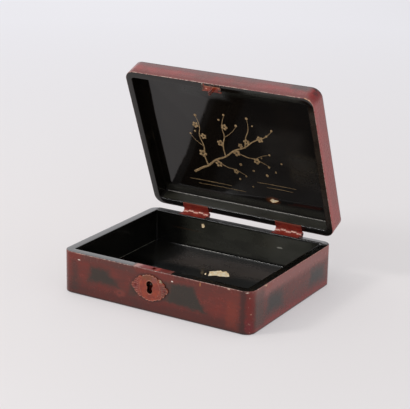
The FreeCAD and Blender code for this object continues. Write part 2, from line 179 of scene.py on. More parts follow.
# Half the box's width and depth in millimetres, for marks that keep to a face, an edge or a corner
halfWide, halfDeep = baseHigh.x / mm, baseHigh.y / mm

redLacquer = {
    # Noises as (size in mm, detail, roughness)
    "mottle": (5.0, 4.0, 0.6),      # small flecks
    "grit": (1 / 0.35, 6.0, 0.75),  # worn spots
    "skin": (1.6, 2.0, 0.5),        # dimples of a brushed coat
    "brush": 2.6,           # mm, spacing of the brush marks along the walls
    "wander": 7.0,          # mm, how far a patch's outline strays
    "facePlay": (3.5, 0.5),     # mm in from the outer face, where a patch starts and is full
    "closedStrip": 0.6,     # mm of the closed face that wears with its edge
    "cornerInset": 1.5,     # mm, how far in from both faces the round corner's middle lies
    "slowBump": 0.25, "slowDepth": 0.6 * mm,    # the coat's long waves
    "fineBump": 0.12, "fineDepth": 0.05 * mm,   # and its dimples
    "under": "1c1512",
}


def redUrushi(name, onLid, tones, patches, spots):
    # Red urushi brushed over black: a deep red with clouds of the black showing through, pale at worn edges
    # Some patches are painted shade and sheen, standing for what the gloss mirrors
    material, tree = newMaterial(name)
    place = shutPlace(tree, onLid)
    x, y, z = addNode(tree, "ShaderNodeSeparateXYZ", {"Vector": place}).outputs
    cloud, mottle, grit, skin = [addNode(tree, "ShaderNodeTexNoise", {
        "Vector": place, "Scale": 1 / size, "Detail": detail, "Roughness": roughness})
        for size, detail, roughness in (
            (tones["cloud"], 3.0, 0.55), redLacquer["mottle"], redLacquer["grit"], redLacquer["skin"])]
    along = addNode(tree, "ShaderNodeMapping", {"Vector": place, "Scale": (0.07, 0.07, 1.0)})
    brush = addNode(tree, "ShaderNodeTexNoise", {
        "Vector": along, "Scale": 1 / redLacquer["brush"], "Detail": 3.0, "Roughness": 0.6})
    colour = twoTone(tree, cloud, 0.38, 0.62, tones["deep"], tones["warm"])
    streaks = addNode(tree, "ShaderNodeMapRange", {"Value": brush, "From Min": 0.45, "From Max": 0.7})
    colour = layOver(tree, colour, streaks, tones["streak"], tones["bright"])
    flecks = addNode(tree, "ShaderNodeMapRange", {"Value": mottle, "From Min": 0.52, "From Max": 0.75})
    colour = layOver(tree, colour, flecks, tones["fleck"], tones["bright"])

    # Patches on the faces, with ragged edges
    ragged = addNode(tree, "ShaderNodeVectorMath", {
        0: mottle.outputs["Color"], 1: (0.5, 0.5, 0.5)}, operation="SUBTRACT")
    shifted = addNode(tree, "ShaderNodeVectorMath", {
        0: ragged, 1: [redLacquer["wander"]] * 3, 2: place}, operation="MULTIPLY_ADD")
    shiftedAxes = addNode(tree, "ShaderNodeSeparateXYZ", {"Vector": shifted}).outputs
    sideways = addNode(tree, "ShaderNodeMath", {0: x}, operation="ABSOLUTE")
    endways = addNode(tree, "ShaderNodeMath", {0: y}, operation="ABSOLUTE")
    start, full = redLacquer["facePlay"]
    flatPoints, onFace = {}, {}
    for face, across, away, half in (("front", "X", endways, halfDeep), ("side", "Y", sideways, halfWide)):
        flatPoints[face] = addNode(tree, "ShaderNodeCombineXYZ", {
            "X": shiftedAxes[across], "Y": shiftedAxes["Z"], "Z": 1.0})
        onFace[face] = addNode(tree, "ShaderNodeMapRange", {
            "Value": away, "From Min": half - start, "From Max": half - full})
    for face, corners, soft, strength, hexText in patches:
        mask = patchMask(tree, flatPoints[face], corners, soft)
        mask = addNode(tree, "ShaderNodeMath", {0: mask, 1: onFace[face]}, operation="MULTIPLY")
        colour = layOver(tree, colour, mask, strength, hexText)
    for centre, radii, soft, strength, hexText in spots:
        # Soft spots stray as the patches do, and sharp ones stay put
        mask = spotMask(tree, shifted if soft > 0.3 else place, centre, radii, soft)
        colour = layOver(tree, colour, mask, strength, hexText)

    # Worn arrises at the rim, the closed edge and the round corners: black, and pale flecks of priming
    rim, closed = (lidLow.z, lidHigh.z) if onLid else (baseHigh.z, baseLow.z)
    toRim, toClosed = [addNode(tree, "ShaderNodeMath", {
        0: addNode(tree, "ShaderNodeMath", {0: z, 1: height / mm}, operation="SUBTRACT")},
        operation="ABSOLUTE") for height in (rim, closed)]
    # The closed edge's wear keeps off the flat face, but for a strip along its edge. The corner's wear
    # keeps near the middle of the round, measured along both faces
    inward, toCorner = [[addNode(tree, "ShaderNodeMath", {0: half - inset, 1: away}, operation="SUBTRACT")
                         for half, away in ((halfWide, sideways), (halfDeep, endways))]
                        for inset in (redLacquer["closedStrip"], redLacquer["cornerInset"])]
    inward = addNode(tree, "ShaderNodeMath", {0: inward[0], 1: inward[1]}, operation="MINIMUM")
    toCorner = addNode(tree, "ShaderNodeMath", {0: toCorner[0], 1: toCorner[1]}, operation="MAXIMUM")
    toClosed = addNode(tree, "ShaderNodeMath", {0: toClosed, 1: inward}, operation="MAXIMUM")
    for distance, reach, low, high, hexText, strength in (
            (toRim, 0.9, 0.44, 0.60, tones["worn"], tones["rimWear"]),
            (toClosed, 2.4, 0.28, 0.50, redLacquer["under"], 0.8),
            (toClosed, 1.1, 0.56, 0.64, tones["worn"], 0.75),
            (toCorner, 4.6, 0.62, 0.66, tones["worn"], 0.75)):
        near = addNode(tree, "ShaderNodeMapRange", {
            "Value": distance, "From Min": reach, "From Max": reach * 0.35})
        patchy = addNode(tree, "ShaderNodeMapRange", {"Value": grit, "From Min": low, "From Max": high})
        mask = addNode(tree, "ShaderNodeMath", {0: near, 1: patchy}, operation="MULTIPLY")
        colour = layOver(tree, colour, mask, strength, hexText)

    slow = addNode(tree, "ShaderNodeBump", {
        "Height": cloud, "Strength": redLacquer["slowBump"], "Distance": redLacquer["slowDepth"]})
    fine = addNode(tree, "ShaderNodeBump", {
        "Height": skin, "Strength": redLacquer["fineBump"], "Distance": redLacquer["fineDepth"],
        "Normal": slow})
    gloss = addNode(tree, "ShaderNodeMapRange", {
        "Value": mottle, "From Min": 0.3, "From Max": 0.7,
        "To Min": tones["glossLow"], "To Max": tones["glossHigh"]})
    finishMaterial(tree, addNode(tree, "ShaderNodeBsdfPrincipled", {
        "Base Color": colour, "Roughness": gloss, "IOR": 1.48, "Normal": fine}))
    return material


blackLacquer = {
    # Noises as (size in mm, detail, roughness, stretch along each axis)
    "cloud": (34.0, 4.0, 0.6, (1, 1, 1)),
    "grit": (1 / 0.45, 5.0, 0.7, (1, 1, 1)),        # grain of the polish
    "crumbsAndGlints": (0.8, 2.0, 0.5, (1, 1, 1)),           # pale specks along joints and rims, among them painted glints on the inner fillets, broken like cracked lacquer
    "dustAndPaintedLight": (1 / 0.09, 5.0, 0.55, (0.35, 1, 1)),    # drifts of dust, and the breakup of painted sheen and shade, longer along the walls
    "scratch": (0.9, 3.0, 0.6, (0.05, 1, 1)),       # fine rubbing marks
    "speckEdge": 0.06, "speckStrength": 0.9, "speckDull": 0.7,
    "slowBump": 0.15, "slowDepth": 0.4 * mm, "scratchDepth": 0.03 * mm,
}


def blackUrushi(name, onLid, tones, zones, specks, spots):
    # Black urushi rubbed to a mirror: near black, brown where it is thin, dusty and dull in places
    # Some zones and specks are painted sheen, reflections and glints, and some painted shade
    material, tree = newMaterial(name)
    place = shutPlace(tree, onLid)
    cloud, grit, crumbsAndGlints, dustAndPaintedLight, scratch = [addNode(tree, "ShaderNodeTexNoise", {
        "Vector": addNode(tree, "ShaderNodeMapping", {"Vector": place, "Scale": stretch}),
        "Scale": 1 / size, "Detail": detail, "Roughness": roughness})
        for size, detail, roughness, stretch in (
            blackLacquer[key] for key in ("cloud", "grit", "crumbsAndGlints", "dustAndPaintedLight", "scratch"))]
    colour = twoTone(tree, cloud, 0.35, 0.68, tones["black"], tones["brown"])
    gloss = addNode(tree, "ShaderNodeMapRange", {
        "Value": grit, "From Min": 0.35, "From Max": 0.75,
        "To Min": tones["glossLow"], "To Max": tones["glossHigh"]})
    dustAndPaintedLight = addNode(tree, "ShaderNodeMapRange", {
        "Value": dustAndPaintedLight, "From Min": 0.3, "From Max": 0.6, "To Min": 0.55})
    for low, high, soft, strength, hexText, dull in zones:
        mask = boxMask(tree, place, low, high, soft)
        mask = addNode(tree, "ShaderNodeMath", {0: mask, 1: dustAndPaintedLight}, operation="MULTIPLY")
        colour = layOver(tree, colour, mask, strength, hexText)
        gloss = addNode(tree, "ShaderNodeMix", {"Factor": mask, "A": gloss, "B": dull}, data_type="FLOAT")
    for low, high, soft, threshold, hexText in specks:
        mask = boxMask(tree, place, low, high, soft)
        patchy = addNode(tree, "ShaderNodeMapRange", {
            "Value": crumbsAndGlints, "From Min": threshold, "From Max": threshold + blackLacquer["speckEdge"]})
        mask = addNode(tree, "ShaderNodeMath", {0: mask, 1: patchy}, operation="MULTIPLY")
        colour = layOver(tree, colour, mask, blackLacquer["speckStrength"], hexText)
        gloss = addNode(tree, "ShaderNodeMix", {
            "Factor": mask, "A": gloss, "B": blackLacquer["speckDull"]}, data_type="FLOAT")
    wander = addNode(tree, "ShaderNodeVectorMath", {
        0: grit.outputs["Color"], 1: (0.5, 0.5, 0.5)}, operation="SUBTRACT")
    for centre, radii, soft, strength, hexText, ragged in spots:
        moved = addNode(tree, "ShaderNodeVectorMath", {
            0: wander, 1: (ragged, ragged, ragged), 2: place}, operation="MULTIPLY_ADD")
        mask = spotMask(tree, moved, centre, radii, soft)
        colour = layOver(tree, colour, mask, strength, hexText)
    slow = addNode(tree, "ShaderNodeBump", {
        "Height": cloud, "Strength": blackLacquer["slowBump"], "Distance": blackLacquer["slowDepth"]})
    fine = addNode(tree, "ShaderNodeBump", {
        "Height": scratch, "Strength": tones["marks"], "Distance": blackLacquer["scratchDepth"],
        "Normal": slow})
    finishMaterial(tree, addNode(tree, "ShaderNodeBsdfPrincipled", {
        "Base Color": colour, "Roughness": gloss, "IOR": 1.5, "Normal": fine}))
    return material


def grainyFinish(name, onLid, values):
    # One grain of noise shifts a plain finish's colour and roughens its surface
    material, tree = newMaterial(name)
    size, detail, roughness = values["grain"]
    grain = addNode(tree, "ShaderNodeTexNoise", {
        "Vector": shutPlace(tree, onLid), "Scale": 1 / size, "Detail": detail, "Roughness": roughness})
    gloss = values["gloss"]
    if isinstance(gloss, tuple):
        gloss = addNode(tree, "ShaderNodeMapRange", {"Value": grain, "To Min": gloss[0], "To Max": gloss[1]})
    bump = addNode(tree, "ShaderNodeBump", {
        "Height": grain, "Strength": values["bump"], "Distance": values["depth"]})
    finishMaterial(tree, addNode(tree, "ShaderNodeBsdfPrincipled", {
        "Base Color": twoTone(tree, grain, *values["tones"]), "Roughness": gloss,
        "Metallic": values["metallic"], "Normal": bump}))
    return material


# Patches are (face, corners along the face and up, softness, strength, colour)
basePatches = [
    # Painted shade: the front darker low down, where its gloss mirrors the box's own shadow on the floor
    ("front", [(-104, -4), (104, -4), (104, 12), (-104, 12)], 5.0, 0.6, "3e140d"),
    ("front", [(-82, 36), (-20, 36), (-20, 46), (-82, 46)], 3.5, 0.5, "45302a"),
    ("front", [(-75, 16), (-39, 17), (-50, 33), (-71, 33)], 4.5, 0.9, "25251c"),
    ("front", [(15, 15), (58, 12), (43, 35), (20, 34)], 2.6, 0.92, "26251d"),
    ("front", [(-94, 4), (-87, 4), (-86, 35), (-93, 35)], 3.0, 0.5, "2c241f"),
    ("front", [(93.5, -2), (103, -2), (103, 44), (93.5, 44)], 1.8, 0.8, "36120d"),
    ("front", [(79, 5), (90, 5), (90, 30), (80, 31)], 3.0, 0.35, "86301a"),
    ("front", [(-28, 13), (-17, 12), (-18, 23), (-26, 24)], 3.0, 0.65, "2e291d"),
    ("front", [(10, 15), (20, 15), (20, 35), (11, 35)], 3.5, 0.6, "2e2a20"),
    # Painted reflection on the right side: a clear deep red low down, where little light is mirrored, and a
    # pale pink sheen along the top
    ("side", [(-84, -4), (84, -4), (84, 13), (-84, 13)], 3.0, 0.7, "6c1a12"),
    ("side", [(-76, -4), (84, -4), (84, 6), (-76, 6)], 3.0, 0.8, "8c160e"),
    ("side", [(-84, 31), (84, 31), (84, 46), (-84, 46)], 4.0, 0.6, "a4605a"),
    ("side", [(-80, 4), (-57, 4), (-57, 40), (-80, 40)], 5.0, 0.7, "462a20"),
    ("side", [(-53, 12), (-20, 11), (-24, 28), (-48, 30)], 6.0, 0.95, "25221d"),
    ("side", [(34, 12), (66, 11), (64, 26), (38, 27)], 6.0, 0.95, "25231f"),
]
# Spots are (centre, radii, softness, strength, colour)
baseSpots = [
    ((-38, -82.5, 12), (5, 6, 4), 0.5, 0.55, "82382c"),
    ((-38, -82.5, 12), (1.6, 6, 1.3), 0.3, 0.6, "4a1a16"),
    ((-46, -82.5, 29), (6, 6, 4), 0.6, 0.4, "74281d"),
    ((-3.4, -82.5, 24.75), (21.2, 2, 14.0), 0.1, 0.5, "301812"),
    ((-85, -82.5, 36), (1.5, 2, 0.5), 0.2, 0.95, "e6d3c6"),
    ((20.7, -82.5, 36), (1.1, 2, 0.6), 0.2, 0.95, "efe0d6"),
    ((51, -82.5, 39.5), (0.4, 2, 2.0), 0.2, 0.85, "c8884a"),
    ((102.4, -78.6, 22), (4.6, 5, 26), 0.5, 0.8, "74140c"),
    ((103.2, -78.6, 20), (0.8, 1.2, 0.6), 0.35, 0.6, "d09a80"),
    ((101.8, -80.2, 36.4), (0.8, 1.0, 0.6), 0.35, 0.6, "d9b09a"),
    ((103.6, -78, 29), (0.6, 1.0, 0.5), 0.35, 0.6, "d9b8a4"),
    ((102.4, -80, 11), (0.7, 1.0, 0.6), 0.35, 0.6, "d0a88c"),
    ((81, -82.5, 41.7), (2.2, 1.2, 0.6), 0.35, 0.7, "d8b4a0"),
    ((100.4, -81.2, 41.8), (1.5, 1.0, 0.5), 0.35, 0.8, "e2cfc0"),
    ((103.6, -78, 41.7), (0.9, 1.3, 0.6), 0.35, 0.8, "e2cfc0"),
    ((105, -55, 41.7), (1.2, 2.8, 0.7), 0.35, 0.85, "e0bc94"),
    ((105, -70, 41.9), (1.2, 1.2, 0.5), 0.35, 0.7, "d8c0b0"),
    ((105, -50, 38.5), (2, 8, 2.5), 0.6, 0.6, "94402e"),
    ((103, -79.5, 8), (4, 4, 6), 0.7, 0.7, "6d1420"),
]
lidPatches = [
    ("side", [(-90, 40), (90, 40), (90, 70), (-90, 70)], 3.0, 0.45, "ac443e"),
    ("side", [(-78, 43), (78, 43), (78, 50), (-78, 48)], 3.0, 0.5, "b04c48"),
    ("front", [(-104, 57), (104, 57), (104, 68), (-104, 68)], 3.0, 0.6, "6c5c5c"),
    ("front", [(-104, 40), (104, 40), (104, 49), (-104, 49)], 2.5, 0.75, "703530"),
    ("front", [(76, 55), (93, 55), (93, 68), (76, 68)], 3.0, 0.55, "4a4d4b"),
]
lidSpots = [
    ((101.5, -79.5, 55), (6, 6, 9), 0.5, 1.0, "7e0c04"),
    ((99, -81, 64), (5, 5, 2.6), 0.4, 0.85, "1c1612"),
    ((101.6, -80, 57.0), (2.2, 2.8, 2.4), 0.8, 0.6, "2a0804"),
    ((99.6, -81.2, 60.2), (1.8, 2, 1.2), 0.4, 0.85, "1c0806"),
    ((103.4, -77.4, 61.4), (2.6, 3.2, 1.4), 0.8, 0.45, "240806"),
    ((97.6, -82.3, 44.1), (2.2, 1.2, 0.7), 0.35, 0.8, "d8a070"),
    ((101.5, -80.7, 44.1), (1.5, 1.3, 0.7), 0.35, 0.8, "e0b088"),
]
redBase = redUrushi("aged_red_urushi_brushed_base", False, {
    "deep": "5a241b", "warm": "692116", "bright": "7e2a1b", "fleck": 0.45, "worn": "c49c8a",
    "cloud": 26.0, "streak": 0.3, "rimWear": 0.65, "glossLow": 0.16, "glossHigh": 0.30},
    basePatches, baseSpots)
redLid = redUrushi("faded_red_urushi_brushed_lid", True, {
    "deep": "744a46", "warm": "8c4644", "bright": "a05854", "fleck": 0.28, "worn": "d2b4a4",
    "cloud": 22.0, "streak": 0.35, "rimWear": 0.65, "glossLow": 0.2, "glossHigh": 0.36},
    lidPatches, lidSpots)
# Zones are (low corner, high corner, softness, strength, colour, roughness)
blackBase = blackUrushi("black_urushi_brushed_base_inside", False, {
    "black": "0a0a08", "brown": "12110e", "glossLow": 0.08, "glossHigh": 0.26, "marks": 0.2}, [
    # The floor's back half grey brown: dust, and painted reflection of the pale surroundings
    ((-60, 10, 8.5), (84, 72.6, 9.8), (26, 26, 0.3), 0.95, "3b332e", 0.34),
    # Painted shade: the floor's front half near black and glossy, standing for the dark inside of the front
    # wall mirrored in it
    ((-99, -74, 8.5), (99, 26, 9.8), (3, 16, 0.3), 1.8, "030403", 0.05),
    # The back wall grey, lighter to the right: partly dust, partly painted reflection
    ((-70, 72.8, 10.4), (99, 75, 42), (22, 0.4, 2.5), 0.9, "35352e", 0.3),
    ((30, 72.8, 10.4), (99, 75, 42), (22, 0.4, 2.5), 0.5, "4a4a44", 0.32),
    ((-99, 74, 42.2), (64, 84, 43), (2, 1.2, 0.1), 0.9, "0f0e0c", 0.68),
    ((16, -84, 42.2), (99, -73.4, 43), (6, 0.6, 0.1), 0.95, "060605", 0.2),
    ((-27, -84, 42.2), (19, -81.6, 43), (0.8, 0.3, 0.1), 0.95, "0a0706", 0.7),
], [
    # A painted glint along the floor and back wall's fillet, broken like lacquer cracked along the joint
    ((-66, 73.0, 8.9), (-2, 73.7, 9.6), (3, 0.12, 0.12), 0.46, "dedad2"),
    ((-2, 73.0, 8.9), (46, 73.7, 9.6), (3, 0.12, 0.12), 0.56, "d8d4ca"),
    ((-96.5, -30, 8.9), (-95.2, 72, 9.9), (0.12, 6, 0.12), 0.44, "55564c"),
    ((-98, 74, 42.2), (99, 84, 43), (3, 0.4, 0.1), 0.74, "8c867c"),
    ((-20, 73.0, 40.4), (99, 74.2, 42.3), (9, 0.3, 0.5), 0.5, "040404"),
], [
    ((13, 18, 9.3), (14, 11, 2), 0.8, 0.35, "30200f", 2.0),
    ((-57, 73.5, 28), (15, 2, 0.5), 0.6, 0.5, "3c2718", 0.5),
    ((50.6, 73.5, 28.9), (3, 2, 0.8), 0.4, 0.85, "a09e94", 1.4),
    ((-39.4, 73.5, 35.1), (3.4, 2, 3.4), 0.3, 0.6, "3a2c20", 1.0),
])
blackLid = blackUrushi("black_urushi_polished_lid_inside", True, {
    "black": "0e0b09", "brown": "15110d", "glossLow": 0.04, "glossHigh": 0.12, "marks": 0.08}, [
    # Painted reflection: a grey band along the panel's foot, by the back wall
    ((-98, 63, 57.2), (98, 75.2, 58.2), (4, 5, 0.2), 0.8, "2e2d26", 0.3),
    # Painted sheen: a grey haze over the back wall's inside face
    ((-98, 75, 44.4), (98, 76, 57), (3, 0.3, 1.2), 0.9, "33322a", 0.36),
    # Painted sheen on the panel: grey over its upper right, and a grey band across its top with the lid open
    ((20, -38, 57.2), (90, 24, 58.2), (22, 20, 0.2), 0.5, "302d2a", 0.16),
    ((-60, -74, 57.2), (8, -52, 58.2), (16, 8, 0.2), 0.85, "343432", 0.36),
    ((-20, -75, 57.2), (72, -58, 58.2), (44, 12, 0.2), 0.8, "30322c", 0.3),
    ((54, -6, 57.2), (98, 46, 58.2), (12, 12, 0.2), 0.3, "1e1b18", 0.32),
    ((22, -84, 43), (98, -75.8, 44.2), (14, 0.6, 0.1), 0.75, "2b2c27", 0.3),
    ((98.4, -76, 43), (106, 76, 44.2), (0.6, 14, 0.1), 0.7, "30261d", 0.3),
    # Painted shade: the back rim darker than the black lacquer, standing for the dark it mirrors
    ((-98, 76.2, 43), (98, 84, 44.2), (3, 1, 0.1), 0.95, "060505", 0.12),
    ((-18, -84, 43), (8, -81.3, 44.2), (1, 0.4, 0.1), 0.95, "0a0706", 0.7),
], [
    # A painted glint along the panel and back wall's fillet
    ((-98, 74.9, 57.0), (98, 75.7, 57.9), (2, 0.12, 0.12), 0.45, "b8b4ac"),
    ((-98, 81.3, 43), (98, 84, 44.4), (3, 0.4, 0.1), 0.66, "9a948a"),
], [
    ((32.5, 61.6, 57.7), (6.5, 3.6, 2), 0.6, 0.75, "6a3818", 2.0),
])
# Powdered stone in raw lacquer, laid bare where the black flaked off: chalky cream, dirty in its pores.
# The grain is (size in mm, detail, roughness), the tones run from one colour to another over a range
priming = {
    "grain": (2.0, 5.0, 0.65), "tones": (0.35, 0.6, "f0ca8c", "fff4da"), "gloss": 0.85, "metallic": 0.0,
    "bump": 0.5, "depth": 0.2 * mm,
}
primingBase = grainyFinish("bare_priming_base", False, priming)
primingLid = grainyFinish("bare_priming_lid", True, priming)
print("lacquers made")


# Fittings

brassPaint = {
    # Noises as (size in mm, detail, roughness)
    "coarse": (1 / 0.22, 4.0, 0.6),     # the paint's clouds
    "fine": (1 / 1.1, 4.0, 0.7),        # its chips
    "glossSpan": 0.2, "bareShare": 0.35,    # how metallic bare brass looks through its grime
    "bump": 0.35, "bumpDepth": 0.12 * mm,
    "lineFrom": 2.3, "lineFull": 2.42,      # mm from the pin, where a pale line, painted highlight and rubbed paint, starts and is full
    "barrelOut": 3.0, "barrelIn": 2.6,      # mm from the pin, where the barrel ends
    "ridgeFrom": -83.62, "ridgeFull": -83.84,   # y in mm, where the plate's ridges are rubbed
}


def paintedBrass(name, onLid, tones, wornAt, zones):
    # Sheet brass painted red with the box: dull orange red, with paint rubbed thin on the high places
    # Some pale lines and patches on the fittings are painted highlights, and the plate's dark keyhole sides
    # painted shade
    material, tree = newMaterial(name)
    place = shutPlace(tree, onLid)
    coarse, fine = [addNode(tree, "ShaderNodeTexNoise", {
        "Vector": place, "Scale": 1 / size, "Detail": detail, "Roughness": roughness})
        for size, detail, roughness in (brassPaint["coarse"], brassPaint["fine"])]
    colour = twoTone(tree, coarse, 0.38, 0.62, tones["paint"], tones["orange"])
    for low, high, soft, strength, hexText in zones:
        colour = layOver(tree, colour, boxMask(tree, place, low, high, soft), strength, hexText)
    worn = addNode(tree, "ShaderNodeMapRange", {
        "Value": fine, "From Min": 0.58, "From Max": 0.72, "To Max": tones["chips"]})
    if wornAt:
        high = wornAt(tree, place)
        patchy = addNode(tree, "ShaderNodeMapRange", {
            "Value": fine, "From Min": tones["rubbed"][0], "From Max": tones["rubbed"][1],
            "To Min": 0.1, "To Max": 0.95})
        high = addNode(tree, "ShaderNodeMath", {0: high, 1: patchy}, operation="MULTIPLY")
        worn = addNode(tree, "ShaderNodeMath", {0: worn, 1: high}, operation="MAXIMUM")
    colour = layOver(tree, colour, worn, 1.0, tones["worn"])
    metal = addNode(tree, "ShaderNodeMath", {0: worn, 1: brassPaint["bareShare"]}, operation="MULTIPLY")
    gloss = addNode(tree, "ShaderNodeMapRange", {
        "Value": fine, "From Min": 0.3, "From Max": 0.7,
        "To Min": tones["glossLow"], "To Max": tones["glossLow"] + brassPaint["glossSpan"]})
    bump = addNode(tree, "ShaderNodeBump", {
        "Height": fine, "Strength": brassPaint["bump"], "Distance": brassPaint["bumpDepth"]})
    finishMaterial(tree, addNode(tree, "ShaderNodeBsdfPrincipled", {
        "Base Color": colour, "Roughness": gloss, "Metallic": metal, "Normal": bump}))
    return material


def alongBarrel(directions):
    # Pale lines along the knuckles, painted highlights as paint rubbed bare, each named by its direction
    # from the pin as (y, z)
    def mask(tree, place):
        away = addNode(tree, "ShaderNodeVectorMath", {
            0: place, 1: (0, hingePoint.y / mm, hingePoint.z / mm)}, operation="SUBTRACT")
        lines = None
        for y, z in directions:
            reach = addNode(tree, "ShaderNodeVectorMath", {0: away, 1: (0, y, z)}, operation="DOT_PRODUCT")
            line = addNode(tree, "ShaderNodeMapRange", {
                "Value": reach.outputs["Value"], "From Min": brassPaint["lineFrom"],
                "From Max": brassPaint["lineFull"]})
            lines = line if lines is None else addNode(
                tree, "ShaderNodeMath", {0: lines, 1: line}, operation="MAXIMUM")
        flat = addNode(tree, "ShaderNodeVectorMath", {0: away, 1: (0, 1, 1)}, operation="MULTIPLY")
        length = addNode(tree, "ShaderNodeVectorMath", {0: flat}, operation="LENGTH").outputs["Value"]
        onBarrel = addNode(tree, "ShaderNodeMapRange", {
            "Value": length, "From Min": brassPaint["barrelOut"], "From Max": brassPaint["barrelIn"]})
        return addNode(tree, "ShaderNodeMath", {0: lines, 1: onBarrel}, operation="MULTIPLY")
    return mask


def highOnPlate(tree, place):
    # The raised edge and ring of the keyhole plate
    y = addNode(tree, "ShaderNodeSeparateXYZ", {"Vector": place}).outputs["Y"]
    return addNode(tree, "ShaderNodeMapRange", {
        "Value": y, "From Min": brassPaint["ridgeFrom"], "From Max": brassPaint["ridgeFull"]})


# The two leaves' knuckles take their pale lines, painted highlights as rubbed paint, along different lines,
# those of the lid turned back to shut
rubbedAndGlintBase = [(-0.97, 0.24)]
rubbedAndGlintLid = [(math.cos(openAngle) * y - math.sin(openAngle) * z,
              math.sin(openAngle) * y + math.cos(openAngle) * z) for y, z in [(-0.74, 0.67)]]
baseHingePaint = paintedBrass("red_painted_brass_base_hinges", False, {
    "paint": "7c160a", "orange": "9a260e", "worn": "f0c8b6", "chips": 0.3, "rubbed": (0.44, 0.52),
    "glossLow": 0.5}, alongBarrel(rubbedAndGlintBase), [])
lidHingePaint = paintedBrass("red_painted_brass_lid_hinges", True, {
    "paint": "721408", "orange": "8c2610", "worn": "f0c8b6", "chips": 0.3, "rubbed": (0.44, 0.52),
    "glossLow": 0.5}, alongBarrel(rubbedAndGlintLid), [
        ((-80, 74.5, 42.5), (80, 76.6, 45), (0.5, 0.5, 0.2), 0.55, "8a5240"),
    ])
platePaint = paintedBrass("red_painted_brass_keyhole_plate", False, {
    "paint": "7c2d1e", "orange": "963a20", "worn": "ba8870", "chips": 0.25, "rubbed": (0.42, 0.60),
    "glossLow": 0.3}, highOnPlate, [
    # Painted shade: the keyhole's sides in the plate near black
    ((-7.6, -83.4, 18.3), (0.8, -82, 32.2), (0.4, 0.05, 0.4), 0.97, "120b08"),
    ((-14, -85, 30), (8, -82, 40), (5, 1, 4), 0.65, "6e4426"),
    ((7, -85, 16), (18, -82, 32), (4, 1, 4), 0.75, "5e2c20"),
    ((-24, -85, 16), (-14, -82, 34), (4, 1, 4), 0.5, "743230"),
    # Painted highlights along the plate's top edge: mauve in the middle, pale greenish cream at either side
    ((-2, -85, 29), (6, -82, 38), (3, 1, 3), 0.45, "84484a"),
    ((-17, -85, 35), (-9, -82, 39), (1.5, 1, 0.8), 0.7, "94907a"),
    ((7, -85, 31.5), (11, -82, 36), (1.2, 1, 1.2), 0.8, "a8a486"),
])
lockPaint = paintedBrass("red_painted_brass_lock_plate", False, {
    "paint": "6c1a14", "orange": "80281a", "worn": "b98272", "chips": 0.35, "glossLow": 0.3}, None, [
    # A painted highlight: pale glare over the plate's left end
    ((-27, -84, 42), (-15, -72, 43), (4, 0.4, 0.1), 0.6, "c4948c"),
    ((-17, -84, 42), (0, -72, 43), (4, 0.4, 0.1), 0.6, "7c1414"),
    # A painted highlight: bright red just right of the slot
    ((0.6, -84, 42), (4, -72, 43), (1, 0.4, 0.1), 0.6, "b84c40"),
    ((4, -84, 42), (15, -72, 43), (3, 0.4, 0.1), 0.85, "5e1206"),
    ((-28, -84, 42), (-22.4, -72, 43), (0.8, 0.4, 0.1), 0.8, "3a3c36"),
    ((13, -84, 42), (19, -72, 43), (2, 0.4, 0.1), 0.6, "5a3c34"),
])
strikePaint = paintedBrass("red_painted_brass_strike", True, {
    "paint": "6c1a10", "orange": "98381f", "worn": "e8c8ac", "chips": 0.8, "glossLow": 0.35}, None, [
    ((-5.8, -79.4, 42), (-1.8, -75, 45), (0.8, 0.6, 0.1), 0.8, "640e04"),
    ((2.2, -79.4, 42), (5, -75, 45), (0.8, 0.6, 0.1), 0.7, "8c5246"),
    ((-18, -84, 42), (-12.8, -74, 45), (1, 0.8, 0.1), 0.85, "24241a"),
    ((1.6, -77, 42), (7.5, -74, 45), (1.4, 0.6, 0.1), 0.85, "1e1612"),
    ((-12, -90, 30), (4, -70, 40.6), (1, 1, 2), 0.8, "3a140e"),
    ((-15.4, -82, 42), (-13.6, -80.6, 45), (0.5, 0.4, 0.1), 0.8, "989a8c"),
    # A painted highlight: pale cream on the left of the plate
    ((-12.2, -77.6, 42), (-8.8, -75.9, 45), (1.6, 0.7, 0.1), 0.85, "e0b098"),
    ((-13, -84, 42), (7.5, -79.6, 45), (1.2, 0.3, 0.1), 0.95, "140a06"),
    ((-13, -79.7, 42), (7.5, -79.0, 45), (1.2, 0.2, 0.1), 0.7, "c89070"),
    ((4.7, -84, 42), (7.5, -75, 45), (0.5, 0.4, 0.1), 0.85, "1e1612"),
])


# Wrought iron left black from the forge: dull brown grey with rust in its pores
lockIron = grainyFinish("blackened_wrought_iron_lock", False, {
    "grain": (1 / 0.6, 6.0, 0.7), "tones": (0.5, 0.7, "3b3733", "4d2c1b"), "gloss": (0.35, 0.7),
    "metallic": 0.8, "bump": 0.3, "depth": 0.08 * mm,
})
for finish, nodeNames in (
        (lockPaint, ("keyhole_plate_nails", "lock_plate", "lock_screws")),
        (lockIron, ("lock_case", "lock_key_pin", "lock_bolt", "bolt_spring", "left_hinge_pin",
                    "right_hinge_pin")),
        (baseHingePaint, ("left_hinge_base_leaf", "right_hinge_base_leaf", "base_leaf_screws")),
        (lidHingePaint, ("left_hinge_lid_leaf", "right_hinge_lid_leaf", "lid_leaf_screws")),
        (strikePaint, ("strike_plate", "strike_screws", "strike_staple"))):
    for nodeName in nodeNames:
        mesh = frame["nodes"][nodeName].data
        mesh.materials.clear()
        mesh.materials.append(finish)
print("fittings finished")


# Mesh helpers

def newPiece(name, mesh):
    piece = bpy.data.objects.new(name, mesh)
    bpy.context.scene.collection.objects.link(piece)
    return piece


def pieceFrom(name, work):
    # A new piece from a worked mesh, which is freed
    mesh = bpy.data.meshes.new(name)
    work.to_mesh(mesh)
    work.free()
    return newPiece(name, mesh)


